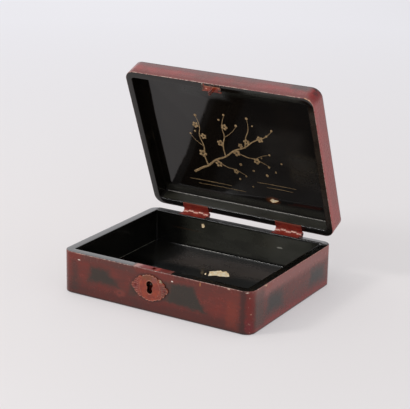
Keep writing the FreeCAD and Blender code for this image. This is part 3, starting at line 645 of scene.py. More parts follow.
def runTree(name, tree, inputs):
    # Runs a node tree on an empty mesh and returns its result as a plain mesh
    holder = newPiece(name + "Holder", bpy.data.meshes.new(name + "Holder"))
    modifier = holder.modifiers.new("tree", "NODES")
    modifier.node_group = tree
    for socket in tree.interface.items_tree:
        if socket.in_out == "INPUT" and socket.name in inputs:
            modifier[socket.identifier] = inputs[socket.name]
    depsgraph = bpy.context.evaluated_depsgraph_get()
    mesh = bpy.data.meshes.new_from_object(holder.evaluated_get(depsgraph))
    holder.modifiers.remove(modifier)
    bpy.data.objects.remove(holder)
    return mesh


def newTree(name, inputs):
    # An empty geometry tree with named inputs and one mesh output
    tree = bpy.data.node_groups.new(name, "GeometryNodeTree")
    tree.interface.new_socket("Geometry", in_out="OUTPUT", socket_type="NodeSocketGeometry")
    for label, (kind, value) in inputs.items():
        socket = tree.interface.new_socket(label, in_out="INPUT", socket_type="NodeSocket" + kind)
        if value is not None:
            socket.default_value = value
    return tree, tree.nodes.new("NodeGroupInput").outputs


def smoothPiece(mesh, degrees):
    mesh.shade_smooth()
    mesh.set_sharp_from_angle(angle=math.radians(degrees))


def arc(centre, radius, start, end, steps):
    # Points of an arc, in degrees, its ends included
    angles = [math.radians(start + (end - start) * k / steps) for k in range(steps + 1)]
    return [(centre[0] + radius * math.cos(a), centre[1] + radius * math.sin(a)) for a in angles]


def rows(start, end, step):
    # Points between two ends of a straight stretch, the ends left out
    count = max(1, round(math.dist(start, end) / step))
    return [tuple(a + (b - a) * k / count for a, b in zip(start, end)) for k in range(1, count)]


# The two shells: one wall section swept round the rounded rectangle

shell = {
    "cornerRound": 10 * mm,
    "closedEdge": 1.2 * mm,     # round of the bottom edge, and of the lid's top edge
    "rimOuter": 0.6 * mm,
    "rimInner": 0.5 * mm,
    "baseFillet": 0.38 * mm,
    "lidFillet": 0.4 * mm,
    "closedInset": 3.5 * mm,    # how far the swept section reaches over the closed face
    "step": 1.6 * mm,           # spacing of the sections along the wall
    "rowStep": 3.0 * mm,        # spacing of the points up the wall
    "ripple": 0.10 * mm, "rippleSize": 22 * mm,     # how far the brushed coat wanders
    "chip": 0.35 * mm, "chipSize": 3.1 * mm, "chipFrom": 0.25,
    "chipReach": 1.2 * mm,      # how far below the rim the chips start
    "cornerPoints": 9,
}

sweepTree, sweepIn = newTree("sweptWall", {
    "Width": ("Float", 0.2), "Depth": ("Float", 0.2), "Corner Round": ("Float", 0.01),
    "Step": ("Float", 0.002), "Section": ("Object", None), "Surface": ("Material", None)})
outline = addNode(sweepTree, "GeometryNodeCurvePrimitiveQuadrilateral", {
    "Width": sweepIn["Width"], "Height": sweepIn["Depth"]})
outline = addNode(sweepTree, "GeometryNodeFilletCurve", {"Curve": outline}, mode="POLY")
sweepTree.links.new(sweepIn["Corner Round"], outline.inputs["Radius"])
outline.inputs["Count"].default_value = shell["cornerPoints"]
outline = addNode(sweepTree, "GeometryNodeResampleCurve", {"Curve": outline}, mode="LENGTH")
sweepTree.links.new(sweepIn["Step"], outline.inputs["Length"])
outline = addNode(sweepTree, "GeometryNodeSetCurveNormal", {"Curve": outline}, mode="Z_UP")
section = addNode(sweepTree, "GeometryNodeObjectInfo", {"Object": sweepIn["Section"]})
swept = addNode(sweepTree, "GeometryNodeCurveToMesh", {
    "Curve": outline, "Profile Curve": section.outputs["Geometry"]})
swept = addNode(sweepTree, "GeometryNodeRealizeInstances", {"Geometry": swept})
swept = addNode(sweepTree, "GeometryNodeSetMaterial", {"Geometry": swept, "Material": sweepIn["Surface"]})
addNode(sweepTree, "NodeGroupOutput", {"Geometry": swept})


def wallSection(height, wall, board, fillet):
    # (inset from the outside, height above the closed face), from that face over the rim to the inside
    edge, rimOuter, rimInner = shell["closedEdge"], shell["rimOuter"], shell["rimInner"]
    bottomArc = arc((edge, edge), edge, 270, 180, 5)
    outerArc = arc((rimOuter, height - rimOuter), rimOuter, 180, 90, 4)
    innerArc = arc((wall - rimInner, height - rimInner), rimInner, 90, 0, 4)
    filletArc = arc((wall + fillet, board + fillet), fillet, 180, 270, 6)
    points = [(shell["closedInset"], 0.0)] + bottomArc
    for stretch in (outerArc, innerArc, filletArc):
        points += rows(points[-1], stretch[0], shell["rowStep"]) + stretch
    return points


def insetOf(point, half, cornerRound):
    # Distance from the outer face, true within the corner's radius of it
    beyond = [max(0.0, abs(point[k]) - half[k] + cornerRound) for k in range(2)]
    return cornerRound - math.hypot(*beyond)


def lacquerShell(name, sizes, closedZ, upward, materials):
    # A whole coated body: sweeps the section, closes its two flat faces and roughens the arris
    curve = bpy.data.curves.new(name + "Section", "CURVE")
    curve.dimensions = "3D"
    points = wallSection(sizes["height"], sizes["wall"], sizes["board"], sizes["fillet"])
    spline = curve.splines.new("POLY")
    spline.points.add(len(points) - 1)
    for point, (inset, rise) in zip(spline.points, points):
        point.co = (-inset, -upward * rise, 0, 1)
    sectionPiece = newPiece(name + "Section", curve)
    mesh = runTree(name, sweepTree, {
        "Width": sizes["width"], "Depth": sizes["depth"], "Corner Round": shell["cornerRound"],
        "Step": shell["step"], "Section": sectionPiece, "Surface": materials[0]})
    bpy.data.objects.remove(sectionPiece)
    half = (sizes["width"] / 2, sizes["depth"] / 2)
    flat = [length - shell["cornerRound"] for length in half]
    rimRise = sizes["height"]
    work = bmesh.new()
    work.from_mesh(mesh)
    bmesh.ops.holes_fill(work, edges=[edge for edge in work.edges if edge.is_boundary], sides=0)
    for vertex in work.verts:
        inset = insetOf(vertex.co, half, shell["cornerRound"])
        outward = Vector([vertex.co[k] - max(-flat[k], min(flat[k], vertex.co[k])) for k in range(2)] + [0])
        if outward.length > 1e-9 and inset < shell["rimOuter"] * 1.1:
            outward.normalize()
            depth = shell["ripple"] * (0.5 + 0.5 * noise.noise(vertex.co / shell["rippleSize"]))
            if abs(vertex.co.z) > rimRise - shell["chipReach"]:
                chip = noise.noise(vertex.co / shell["chipSize"]) - shell["chipFrom"]
                depth += shell["chip"] * max(0.0, chip)
            vertex.co -= outward * depth
    bmesh.ops.recalc_face_normals(work, faces=work.faces)
    # Black from the rim inwards, and on the closed face where the body is black outside too
    for face in work.faces:
        centre = face.calc_center_median()
        inset = insetOf(centre, half, shell["cornerRound"])
        inner = inset > shell["rimOuter"] * 0.8 and (abs(centre.z) > rimRise * 0.2 or sizes["blackOutside"])
        face.material_index = 1 if inner or inset > sizes["wall"] * 0.5 and abs(centre.z) > 0.5 * mm else 0
    work.transform(Matrix.Translation((0, 0, closedZ)))
    mesh.materials.clear()
    for material in materials:
        mesh.materials.append(material)
    work.to_mesh(mesh)
    work.free()
    return newPiece(name, mesh)


def blockTool(name, low, high):
    # A closed box for cutting a recess
    work = bmesh.new()
    bmesh.ops.create_cube(work, size=1)
    size = Vector(high) - Vector(low)
    work.transform(Matrix.Translation((Vector(low) + Vector(high)) / 2) @ Matrix.Diagonal((*size, 1)))
    return pieceFrom(name, work)


def cutRecesses(piece, tools):
    for tool in tools:
        modifier = piece.modifiers.new("cut", "BOOLEAN")
        modifier.operation = "DIFFERENCE"
        modifier.solver = "EXACT"
        modifier.object = tool
    depsgraph = bpy.context.evaluated_depsgraph_get()
    mesh = bpy.data.meshes.new_from_object(piece.evaluated_get(depsgraph))
    piece.modifiers.clear()
    piece.data = mesh
    for tool in tools:
        bpy.data.objects.remove(tool)


def paintInside(piece, low, high, slot):
    # Faces whose middle lies in a box take another of the piece's finishes
    for face in piece.data.polygons:
        if all(a < c < b for a, c, b in zip(low, face.center, high)):
            face.material_index = slot


def prismTool(name, near, far):
    # A closed prism between two outlines with as many points
    work = bmesh.new()
    rings = [[work.verts.new(point) for point in outline] for outline in (near, far)]
    for k in range(len(near)):
        after = (k + 1) % len(near)
        work.faces.new((rings[0][k], rings[0][after], rings[1][after], rings[1][k]))
    work.faces.new(rings[0])
    work.faces.new(rings[1])
    bmesh.ops.recalc_face_normals(work, faces=work.faces)
    return pieceFrom(name, work)


# Keyhole, shared by the front wall and its plate

keyhole = {
    "x": -3.4 * mm,
    "headRadius": 3.6 * mm,
    "headUp": 3.15 * mm,        # head's centre above the plate's
    "neckHalf": 2.6 * mm,
    "footRadius": 3.0 * mm,
    "footDown": 2.85 * mm,
    "plateZ": 24.75 * mm,
    "steps": 96,
    "cutFrom": -84.5 * mm, "cutTo": -80.2 * mm,         # y, clear through the front wood
    "darkFrom": -82.4 * mm, "darkTo": -80.3 * mm,       # y, sides of the cut that are black
    "darkWide": 5 * mm, "darkTall": 8 * mm,
}


def rayOutOfCircle(angle, centre, radius):
    # Distance from the origin to where a ray leaves a circle, or 0 if it misses
    along = centre[0] * math.cos(angle) + centre[1] * math.sin(angle)
    square = radius ** 2 - (centre[0] ** 2 + centre[1] ** 2 - along ** 2)
    return along + math.sqrt(square) if square > 0 else 0.0


def keyholeReach(angle):
    # A round head and a smaller round foot, joined by a neck
    head = rayOutOfCircle(angle, (0, keyhole["headUp"]), keyhole["headRadius"])
    foot = rayOutOfCircle(angle, (0, -keyhole["footDown"]), keyhole["footRadius"])
    neckEnd = keyhole["headUp"] if math.sin(angle) > 0 else keyhole["footDown"]
    neck = min(keyhole["neckHalf"] / (abs(math.cos(angle)) + 1e-9), neckEnd / (abs(math.sin(angle)) + 1e-9))
    return max(head, foot, neck)


def keyholeTool():
    # The keyhole as a prism through the front wood
    outlines = [[], []]
    for outline, y in zip(outlines, (keyhole["cutFrom"], keyhole["cutTo"])):
        for k in range(keyhole["steps"]):
            angle = 2 * math.pi * k / keyhole["steps"]
            reach = keyholeReach(angle)
            outline.append((keyhole["x"] + reach * math.cos(angle), y,
                            keyhole["plateZ"] + reach * math.sin(angle)))
    return prismTool("keyholeTool", *outlines)


# Flakes lost from the black, down to the priming: corners in the surface's own plane, in millimetres

flakes = {
    "depth": 0.25 * mm, "step": 0.7 * mm, "jag": 0.5 * mm, "jagSize": 1.6 * mm, "seed": 7,
    "floor": [(0, 21), (4.7, 25.7), (8.3, 30), (11, 27.4), (14.3, 30.6), (16, 28.2), (17.8, 28), (21, 23.5),
              (24, 19.3), (21, 17.2), (15.5, 14.8), (11, 15.2), (5.4, 9.8), (2.5, 16)],
    "floorFleck": [(-1.5, 15.0), (-0.2, 15.4), (1.5, 12.2), (1.7, 10.8), (0.3, 11.2)],
    "backWall": [(-41.4, 35.8), (-40.6, 37.1), (-38.6, 37.3), (-37.4, 35.6), (-38.0, 33.4), (-40.2, 33.0)],
    "panel": [(28.5, 62.0), (31.5, 64.4), (35.5, 63.6), (39.5, 60.8), (35.0, 60.6), (32.0, 59.6)],
}
# Unseeded, noise_vector takes its offsets from the clock
noise.seed_set(flakes["seed"])


def flakeTool(corners, toSpace):
    # A shallow pan with a ragged edge, reaching as far out of the surface as into it
    corners = [(u * mm, v * mm) for u, v in corners]
    edge = []
    for start, end in zip(corners, corners[1:] + corners[:1]):
        for u, v in [start] + rows(start, end, flakes["step"]):
            ragged = noise.noise_vector(Vector((u, v, 0)) / flakes["jagSize"]) * flakes["jag"]
            edge.append((u + ragged.x, v + ragged.y))
    return prismTool("flakeTool", *[[toSpace(u, v, lift) for u, v in edge]
                                    for lift in (-flakes["depth"], flakes["depth"])])


def flakeBox(corners, toSpace):
    # Box round the pan's floor and sides, clear of the surface itself
    places = [Vector(toSpace(u * mm, v * mm, lift)) for u, v in corners
              for lift in (-flakes["depth"] * 1.2, -flakes["depth"] * 0.1)]
    spare = flakes["jag"] + 0.1 * mm
    low = [min(place[k] for place in places) for k in range(3)]
    high = [max(place[k] for place in places) for k in range(3)]
    deep = [high[k] - low[k] < 2 * flakes["depth"] for k in range(3)]
    return ([a - (0 if d else spare) for a, d in zip(low, deep)],
            [b + (0 if d else spare) for b, d in zip(high, deep)])


def onFloor(u, v, lift):
    return (u, v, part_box("base_bottom_board")[1].z + lift)


def onBackWall(u, v, lift):
    return (u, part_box("base_back_wall")[0].y - lift, v)


def onPanel(u, v, lift):
    return (u, v, panelZ - lift)


baseShell = lacquerShell("base_shell", {
    "width": baseHigh.x - baseLow.x, "depth": baseHigh.y - baseLow.y, "height": baseHigh.z - baseLow.z,
    "wall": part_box("base_front_wall")[1].y - baseLow.y, "board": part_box("base_bottom_board")[1].z,
    "fillet": shell["baseFillet"], "blackOutside": True}, baseLow.z, 1, [redBase, blackBase, primingBase])
play = 0.05 * mm
plateLow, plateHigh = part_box("lock_plate")
caseLow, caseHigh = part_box("lock_case")
plateThick = plateHigh.z - caseHigh.z
recesses = [
    blockTool("rimRecess", (plateLow.x - play, plateLow.y - play, plateHigh.z - plateThick - play),
              (plateHigh.x + play, plateHigh.y + mm, plateHigh.z + mm)),
    blockTool("backRecess", (plateLow.x - play, caseHigh.y - play, plateLow.z - play),
              (plateHigh.x + play, plateHigh.y + mm, plateHigh.z + mm)),
    blockTool("caseRecess", (caseLow.x - play, caseLow.y - play, caseLow.z - play),
              (caseHigh.x + play, caseHigh.y + mm, plateHigh.z - plateThick / 2)),
    keyholeTool(),
]
baseFlakes = [(flakes["floor"], onFloor), (flakes["floorFleck"], onFloor), (flakes["backWall"], onBackWall)]
cutRecesses(baseShell, recesses + [flakeTool(*flake) for flake in baseFlakes])
for flake in baseFlakes:
    paintInside(baseShell, *flakeBox(*flake), 2)
paintInside(baseShell, (keyhole["x"] - keyhole["darkWide"], keyhole["darkFrom"],
                        keyhole["plateZ"] - keyhole["darkTall"]),
            (keyhole["x"] + keyhole["darkWide"], keyhole["darkTo"],
             keyhole["plateZ"] + keyhole["darkTall"]), 1)
smoothPiece(baseShell.data, 40)
print("base shell made")

lidShell = lacquerShell("lid_shell", {
    "width": lidHigh.x - lidLow.x, "depth": lidHigh.y - lidLow.y, "height": lidHigh.z - lidLow.z,
    "wall": shutBox("lid_front_wall")[1].y - lidLow.y, "board": lidHigh.z - panelZ,
    "fillet": shell["lidFillet"], "blackOutside": False}, lidHigh.z, -1, [redLid, blackLid, primingLid])
cutRecesses(lidShell, [flakeTool(flakes["panel"], onPanel)])
paintInside(lidShell, *flakeBox(flakes["panel"], onPanel), 2)
lidShell.data.transform(swingUp)
smoothPiece(lidShell.data, 40)
print("lid shell made")


# Keyhole plate: polar rings from the keyhole to the lobed outline

lobedPlate = {
    "back": -82.5 * mm, "face": -83.5 * mm, "rise": 0.4 * mm,
    "discRadius": 12.3 * mm,
    # Lobes of one quarter of its edge, as (across, up, radius) in millimetres
    "lobes": [(16.8, 0, 3.4), (13.6, 4.2, 3.2), (10.4, 7.4, 2.8), (6.2, 9.2, 2.4), (3.1, 10.4, 2.4),
              (0, 10.8, 2.4)],
    "steps": 480, "rings": 22,
    "lip": 0.95 * mm, "lipCrown": 0.45, "lipWidth": 0.62,   # both shares of the lip
    "innerLine": 2.3 * mm, "innerRise": 0.14 * mm, "innerWidth": 0.5 * mm,
    "chaseRadius": 11.2 * mm, "chaseRise": 0.3 * mm, "chaseWidth": 0.7 * mm,
    "earFrom": 0.62, "earSpan": 0.2,                        # cosines between disc and ears
    "flutes": 44, "fluteRise": 0.2 * mm, "fluteFrom": 11.5 * mm,
    "hammer": 0.05 * mm, "hammerSize": 1.7 * mm,
}


def plateReach(angle):
    # Distance from the plate's middle to its outline
    circles = [((0, 0), lobedPlate["discRadius"])]
    for across, up, radius in lobedPlate["lobes"]:
        circles += [((mirrorX * across * mm, mirrorZ * up * mm), radius * mm)
                    for mirrorX in (-1, 1) for mirrorZ in (-1, 1)]
    return max(rayOutOfCircle(angle, centre, radius) for centre, radius in circles)


def bead(distance, width):
    # A smooth ridge, 1 at its crown and 0 at width to either side
    share = min(1.0, abs(distance) / width)
    return 0.5 + 0.5 * math.cos(math.pi * share)


def plateHeight(reach, angle, inner, outer):
    # Thickness of the plate at a point, above its plain face
    crown, width = lobedPlate["lip"] * lobedPlate["lipCrown"], lobedPlate["lip"] * lobedPlate["lipWidth"]
    rise = lobedPlate["rise"] * max(bead(reach - inner - crown, width), bead(outer - reach - crown, width))
    sideways = min(1.0, max(0.0, (abs(math.cos(angle)) - lobedPlate["earFrom"]) / lobedPlate["earSpan"]))
    inside = lobedPlate["innerRise"] * bead(outer - reach - lobedPlate["innerLine"],
                                            lobedPlate["innerWidth"])
    chase = lobedPlate["chaseRise"] * sideways * bead(reach - lobedPlate["chaseRadius"],
                                                      lobedPlate["chaseWidth"])
    inEar = min(1.0, max(0.0, (reach - lobedPlate["fluteFrom"]) / mm)) * sideways
    flute = lobedPlate["fluteRise"] * inEar * math.sin(angle * lobedPlate["flutes"])
    return min(lobedPlate["rise"], rise + inside + chase + flute)


def makePlate():
    # Columns of points from the keyhole to the outline, closed by two points on the back
    work = bmesh.new()
    steps, lip, ringCount = lobedPlate["steps"], lobedPlate["lip"], lobedPlate["rings"]
    innerShares = (0.0, 0.15, 0.45, 0.75, 1.05)
    rings = []
    for k in range(steps):
        angle = 2 * math.pi * k / steps
        inner, outer = keyholeReach(angle), plateReach(angle)
        reaches = [inner + lip * share for share in innerShares]
        start, end = inner + lip * 1.3, outer - lip * 1.3
        reaches += [start + (end - start) * j / ringCount for j in range(ringCount + 1)]
        reaches += [outer - lip * share for share in reversed(innerShares)]
        column = []
        for index, reach in enumerate([inner] + reaches + [outer]):
            x = keyhole["x"] + reach * math.cos(angle)
            z = keyhole["plateZ"] + reach * math.sin(angle)
            if index in (0, len(reaches) + 1):
                y = lobedPlate["back"]
            else:
                hammered = lobedPlate["hammer"] * noise.noise(Vector((x, 0, z)) / lobedPlate["hammerSize"])
                y = lobedPlate["face"] - plateHeight(reach, angle, inner, outer) - hammered
            column.append(work.verts.new((x, y, z)))
        rings.append(column)
    for k in range(steps):
        here, after = rings[k], rings[(k + 1) % steps]
        for j in range(len(here)):
            nextJ = (j + 1) % len(here)
            work.faces.new((here[j], here[nextJ], after[nextJ], after[j]))
    bmesh.ops.recalc_face_normals(work, faces=work.faces)
    return pieceFrom("lobed_keyhole_plate", work)


keyPlate = makePlate()
keyPlate.data.materials.append(platePaint)
smoothPiece(keyPlate.data, 50)
print("keyhole plate made")


# Gold spray on the lid's panel: a plum branch in blossom, with drifting petals and bars of mist

# Gold powder dusted on wet urushi and burnished: a broken brown gold, dull beside the black
goldFinish = grainyFinish("gold_powder_on_urushi", True, {
    "grain": (1 / 1.4, 4.0, 0.7), "tones": (0.4, 0.62, "74593a", "d8b988"), "gloss": 0.48,
    "metallic": 0.35, "bump": 0.4, "depth": 0.05 * mm,
})

spray = {
    "relief": 0.16 * mm,        # half the height of a brush line of full width
    "backEdge": 82.5,           # mm, y of the lid's back face; up the panel is measured from it
    "lineWidth": 0.7,
    "blossom": 4.2 * mm,
    "petals": 5, "petalOut": 0.61, "petalShape": (0.35, 0.35, 0.04),        # shares of the blossom
    "stamens": 9, "stamenOut": 0.27, "stamenShape": (0.06, 0.06, 0.085),
    "unevenLow": 0.85, "unevenHigh": 1.15,
    "seed": 4,
}
# Brush lines as (across, up the panel, half width), in millimetres
branches = [
    [(-56, 40, 1.9), (-46, 47, 1.7), (-37, 51, 1.6), (-27, 61, 1.45), (-14, 66, 1.25), (-3, 77, 1.1),
     (11, 82, 0.95), (22, 93, 0.8), (36, 98, 0.6), (45, 108, 0.35)],
    [(-37, 51, 1.2), (-41, 63, 1.0), (-37, 75, 0.85), (-42, 88, 0.7), (-37, 101, 0.5), (-41, 112, 0.25)],
    [(-14, 66, 1.0), (-16, 80, 0.85), (-10, 92, 0.7), (-13, 105, 0.55), (-7, 118, 0.25)],
    [(11, 82, 0.8), (13, 95, 0.65), (20, 106, 0.5), (19, 118, 0.25)],
    [(-3, 77, 0.8), (9, 70, 0.7), (22, 71, 0.55), (35, 64, 0.3)],
    [(-27, 61, 0.7), (-17, 53, 0.6), (-5, 53, 0.45), (6, 47, 0.25)],
    [(-37, 75, 0.5), (-47, 80, 0.4), (-51, 88, 0.2)],
    [(22, 71, 0.4), (29, 77, 0.3), (38, 78, 0.2)],
    [(-10, 92, 0.45), (-1, 98, 0.35), (5, 107, 0.2)],
]
mist = [
    [(-64, 30, 0.3), (-40, 30.5, 0.5), (-14, 30, 0.3)],
    [(-54, 25.5, 0.25), (-30, 26, 0.45), (2, 25.5, 0.25)],
    [(18, 41, 0.25), (38, 41.5, 0.45), (62, 41, 0.25)],
    [(28, 36.5, 0.2), (46, 37, 0.4), (58, 36.5, 0.2)],
]
# Blossoms as (across, up, size, turn in degrees)
blossoms = [
    (-41, 66, 1.1, 10), (-36, 88, 1.0, 40), (-43, 101, 0.85, 22), (-17, 83, 1.1, 64), (-9, 104, 0.9, 5),
    (0, 74, 1.15, 31), (14, 90, 1.0, 50), (22, 68, 0.95, 12), (30, 96, 0.85, 33), (-24, 56, 1.0, 47),
    (-5, 50, 0.8, 70), (6, 84, 0.75, 15),
]
buds = [
    (-41, 113, 1.0), (-7, 119, 1.0), (19, 119, 0.9), (45, 109, 1.0), (35, 63, 0.9), (6, 46, 0.8),
    (-51, 89, 0.9), (38, 78.5, 0.8), (5, 108, 0.9), (-14, 112, 0.8), (-45, 93, 0.8), (24, 111, 0.7),
    (38, 101, 0.8), (-31, 57, 0.8), (28, 73, 0.7),
]
petals = [
    (2, 60, 1.0, 20), (16, 55, 0.9, 80), (31, 52, 1.0, 140), (42, 58, 0.8, 40), (-2, 41, 0.8, 100),
    (50, 70, 0.8, 10), (12, 34, 0.8, 60),
]


def panelPlace(across, up):
    # A place on the panel, in the shut lid
    return Vector((across * mm, (spray["backEdge"] - up) * mm, panelZ))


def pointCloud(name, rowsOfPoints):
    # Loose points with a size and a turn each
    mesh = bpy.data.meshes.new(name)
    mesh.from_pydata([panelPlace(row[0], row[1]) for row in rowsOfPoints], [], [])
    size = mesh.attributes.new("size", "FLOAT", "POINT")
    turn = mesh.attributes.new("turn", "FLOAT", "POINT")
    for index, row in enumerate(rowsOfPoints):
        size.data[index].value = row[2]
        turn.data[index].value = math.radians(row[3]) if len(row) > 3 else 0.0
    return newPiece(name, mesh)


def brushLines(name, lines):
    # Smooth curves that carry their half width as radius
    curve = bpy.data.curves.new(name, "CURVE")
    curve.dimensions = "3D"
    for line in lines:
        spline = curve.splines.new("NURBS")
        spline.points.add(len(line) - 1)
        for point, (across, up, halfWidth) in zip(spline.points, line):
            point.co = (*panelPlace(across, up), 1)
            point.radius = halfWidth * spray["lineWidth"]
        spline.order_u = 3
        spline.use_endpoint_u = True
        spline.resolution_u = 6
    return newPiece(name, curve)


goldTree, goldIn = newTree("goldSpray", {
    "Lines": ("Object", None), "Blossoms": ("Object", None), "Buds": ("Object", None),
    "Petals": ("Object", None), "Relief": ("Float", 0.0002), "Blossom Radius": ("Float", 0.003),
    "Seed": ("Int", 0), "Gold": ("Material", None)})
lineCurves = addNode(goldTree, "GeometryNodeObjectInfo", {"Object": goldIn["Lines"]})
lineCurves = addNode(goldTree, "GeometryNodeSetCurveNormal", {
    "Curve": lineCurves.outputs["Geometry"]}, mode="Z_UP")
lineSection = addNode(goldTree, "GeometryNodeCurvePrimitiveCircle", {"Resolution": 8, "Radius": mm})
flatten = addNode(goldTree, "ShaderNodeCombineXYZ", {
    "X": 1.0, "Y": addNode(goldTree, "ShaderNodeMath", {0: goldIn["Relief"], 1: mm}, operation="DIVIDE"),
    "Z": 1.0})
lineSection = addNode(goldTree, "GeometryNodeTransform", {"Geometry": lineSection, "Scale": flatten})
lines = addNode(goldTree, "GeometryNodeCurveToMesh", {
    "Curve": lineCurves, "Profile Curve": lineSection, "Fill Caps": True,
    "Scale": addNode(goldTree, "GeometryNodeInputRadius")})
drop = addNode(goldTree, "GeometryNodeMeshUVSphere", {
    "Segments": 12, "Rings": 6, "Radius": goldIn["Blossom Radius"]})
flower = addNode(goldTree, "GeometryNodeJoinGeometry")
forms = {}
for label in ("petal", "stamen"):
    forms[label] = addNode(goldTree, "GeometryNodeTransform", {
        "Geometry": drop, "Scale": spray[label + "Shape"]})
    ring = addNode(goldTree, "GeometryNodeMeshCircle", {
        "Vertices": spray[label + "s"], "Radius": addNode(goldTree, "ShaderNodeMath", {
            0: goldIn["Blossom Radius"], 1: spray[label + "Out"]}, operation="MULTIPLY")})
    placed = addNode(goldTree, "GeometryNodeInstanceOnPoints", {"Points": ring, "Instance": forms[label]})
    goldTree.links.new(placed.outputs[0], flower.inputs["Geometry"])
sizeOf = addNode(goldTree, "GeometryNodeInputNamedAttribute", {"Name": "size"})
turnOf = addNode(goldTree, "GeometryNodeInputNamedAttribute", {"Name": "turn"})
turnAround = addNode(goldTree, "ShaderNodeCombineXYZ", {"Z": turnOf})
uneven = addNode(goldTree, "FunctionNodeRandomValue", {
    "Min": spray["unevenLow"], "Max": spray["unevenHigh"], "Seed": goldIn["Seed"]}, data_type="FLOAT")
unevenSize = addNode(goldTree, "ShaderNodeMath", {0: sizeOf, 1: uneven}, operation="MULTIPLY")
everything = addNode(goldTree, "GeometryNodeJoinGeometry", {"Geometry": lines})
for label, instance in (("Blossoms", flower), ("Petals", forms["petal"]), ("Buds", forms["petal"])):
    points = addNode(goldTree, "GeometryNodeObjectInfo", {"Object": goldIn[label]})
    group = addNode(goldTree, "GeometryNodeInstanceOnPoints", {
        "Points": points.outputs["Geometry"], "Instance": instance, "Rotation": turnAround,
        "Scale": unevenSize})
    goldTree.links.new(group.outputs[0], everything.inputs["Geometry"])
whole = addNode(goldTree, "GeometryNodeRealizeInstances", {"Geometry": everything})
whole = addNode(goldTree, "GeometryNodeSetMaterial", {"Geometry": whole, "Material": goldIn["Gold"]})
addNode(goldTree, "NodeGroupOutput", {"Geometry": whole})

sprayParts = {
    "Lines": brushLines("sprayLines", branches + mist), "Blossoms": pointCloud("sprayBlossoms", blossoms),
    "Buds": pointCloud("sprayBuds", buds), "Petals": pointCloud("sprayPetals", petals)}
sprayMesh = runTree("goldSpray", goldTree, {
    **sprayParts, "Relief": spray["relief"], "Blossom Radius": spray["blossom"], "Seed": spray["seed"],
    "Gold": goldFinish})
for part in sprayParts.values():
    bpy.data.objects.remove(part)
sprayMesh.transform(swingUp)
goldSpray = newPiece("gold_blossom_spray", sprayMesh)
smoothPiece(goldSpray.data, 60)
print("gold spray made")


# What rides on what

for piece, body, slotName, replaced in (
        (baseShell, "base", "red_lacquer", [
            "base_front_wall", "base_back_wall", "base_left_wall", "base_right_wall", "base_bottom_board",
            "base_corner_pegs"]),
        (lidShell, "lid", "red_lacquer", [
            "lid_front_wall", "lid_back_wall", "lid_left_wall", "lid_right_wall", "lid_top_board",
            "lid_corner_pegs"]),
        (keyPlate, "base", "painted_brass", ["keyhole_plate"]),
        (goldSpray, "lid", "black_lacquer", [])):
    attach(piece, body)
    if replaced:
        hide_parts(*replaced)


# Floor, light and camera

studio = {
    "floorSize": 9.0, "floorDrop": 0.3 * mm,
    # The paper is painted darker and warmer near the box, as shade, and paler and cooler far off
    "floorSeen": "f1f0f4", "floorShadedNear": "e0dad8", "floorFar": "f4f3f9", "shadowShare": 0.6,
    "nearReach": 0.25, "farReach": 1.4,     # metres from the box over which the paper's painted shade fades
    "worldSeen": "ebe9ee", "worldLight": 0.66,
    "aim": (0, 0, 0.06),
}


def lookedAt(tree):
    # 1 for the rays that show a thing to the camera or in a mirror, and 0 for those that only light
    path = addNode(tree, "ShaderNodeLightPath").outputs
    looked = path["Is Camera Ray"]
    for kind in ("Is Glossy Ray", "Is Transmission Ray"):
        looked = addNode(tree, "ShaderNodeMath", {0: looked, 1: path[kind]}, operation="MAXIMUM")
    return looked


def makeFloor():
    # A sheet of white paper: lights the box from below and keeps a faint shadow, with painted shade
    # darkening it near the box
    mesh = bpy.data.meshes.new("floor")
    half = studio["floorSize"] / 2
    mesh.from_pydata([(-half, -half, 0), (half, -half, 0), (half, half, 0), (-half, half, 0)], [],
                     [(0, 1, 2, 3)])
    mesh.transform(Matrix.Translation((0, 0, -studio["floorDrop"])))
    material, tree = newMaterial("white_paper_floor")
    spot = addNode(tree, "ShaderNodeTexCoord")
    away = addNode(tree, "ShaderNodeVectorMath", {
        0: spot.outputs["Object"]}, operation="LENGTH").outputs["Value"]
    shadedPaper = twoTone(tree, away, studio["nearReach"], studio["farReach"], studio["floorShadedNear"],
                   studio["floorFar"])
    lit = addNode(tree, "ShaderNodeBsdfDiffuse", {"Color": shadedPaper})
    glow = addNode(tree, "ShaderNodeEmission", {"Color": linear(studio["floorSeen"])})
    seen = addNode(tree, "ShaderNodeMixShader", {0: studio["shadowShare"], 1: glow, 2: lit})
    finishMaterial(tree, addNode(tree, "ShaderNodeMixShader", {0: lookedAt(tree), 1: lit, 2: seen}))
    mesh.materials.append(material)
    return newPiece("floor", mesh)


makeFloor()

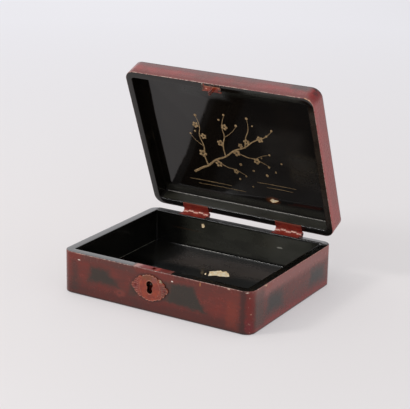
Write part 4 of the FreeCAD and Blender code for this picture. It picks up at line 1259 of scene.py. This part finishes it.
world = bpy.data.worlds.new("studio")
bpy.context.scene.world = world
world.use_nodes = True
worldTree = world.node_tree
worldTree.nodes.clear()
lighting = addNode(worldTree, "ShaderNodeBackground", {
    "Color": linear("ffffff"), "Strength": studio["worldLight"]})
backdrop = addNode(worldTree, "ShaderNodeBackground", {"Color": linear(studio["worldSeen"])})
addNode(worldTree, "ShaderNodeOutputWorld", {"Surface": addNode(worldTree, "ShaderNodeMixShader", {
    0: lookedAt(worldTree), 1: lighting, 2: backdrop})})

lamps = {
    "overhead": {"place": (-0.25, -0.1, 1.7), "size": 1.5, "power": 4.5},
    "frontLeft": {"place": (-0.77, -1.0, 1.05), "size": 0.35, "power": 8.0},
    "behindLeft": {"place": (-1.15, 1.55, 0.75), "size": 1.1, "power": 2.0},
}
for lampName, values in lamps.items():
    data = bpy.data.lights.new(lampName, "AREA")
    data.shape = "SQUARE"
    data.size = values["size"]
    data.energy = values["power"]
    lamp = bpy.data.objects.new(lampName, data)
    lamp.location = values["place"]
    lamp.rotation_mode = "QUATERNION"
    aim = Vector(studio["aim"]) - Vector(values["place"])
    lamp.rotation_quaternion = aim.to_track_quat("-Z", "Y")
    lamp.visible_camera = False
    bpy.context.scene.collection.objects.link(lamp)

viewpoint = {
    "place": (688.1, -1155.8, 520.1),    # mm
    "yaw": -30.55, "pitch": -17.91, "roll": 1.10, "lens": 127.9,
}
yaw, pitch, roll = (math.radians(viewpoint[k]) for k in ("yaw", "pitch", "roll"))
forward = Vector((math.sin(yaw) * math.cos(pitch), math.cos(yaw) * math.cos(pitch), math.sin(pitch)))
right = forward.cross(Vector((0, 0, 1))).normalized()
upright = right.cross(forward)
cameraRight = right * math.cos(roll) + upright * math.sin(roll)
cameraUp = upright * math.cos(roll) - right * math.sin(roll)
camera = bpy.data.objects.new("camera", bpy.data.cameras.new("camera"))
camera.matrix_world = Matrix.Translation(Vector(viewpoint["place"]) * mm) @ Matrix(
    (cameraRight, cameraUp, -forward)).transposed().to_4x4()
camera.data.sensor_fit = "HORIZONTAL"
camera.data.sensor_width = 36
camera.data.lens = viewpoint["lens"]
bpy.context.scene.collection.objects.link(camera)
bpy.context.scene.camera = camera
bpy.context.scene.view_settings.view_transform = "Standard"
print("studio ready")

bpy.context.view_layer.update()
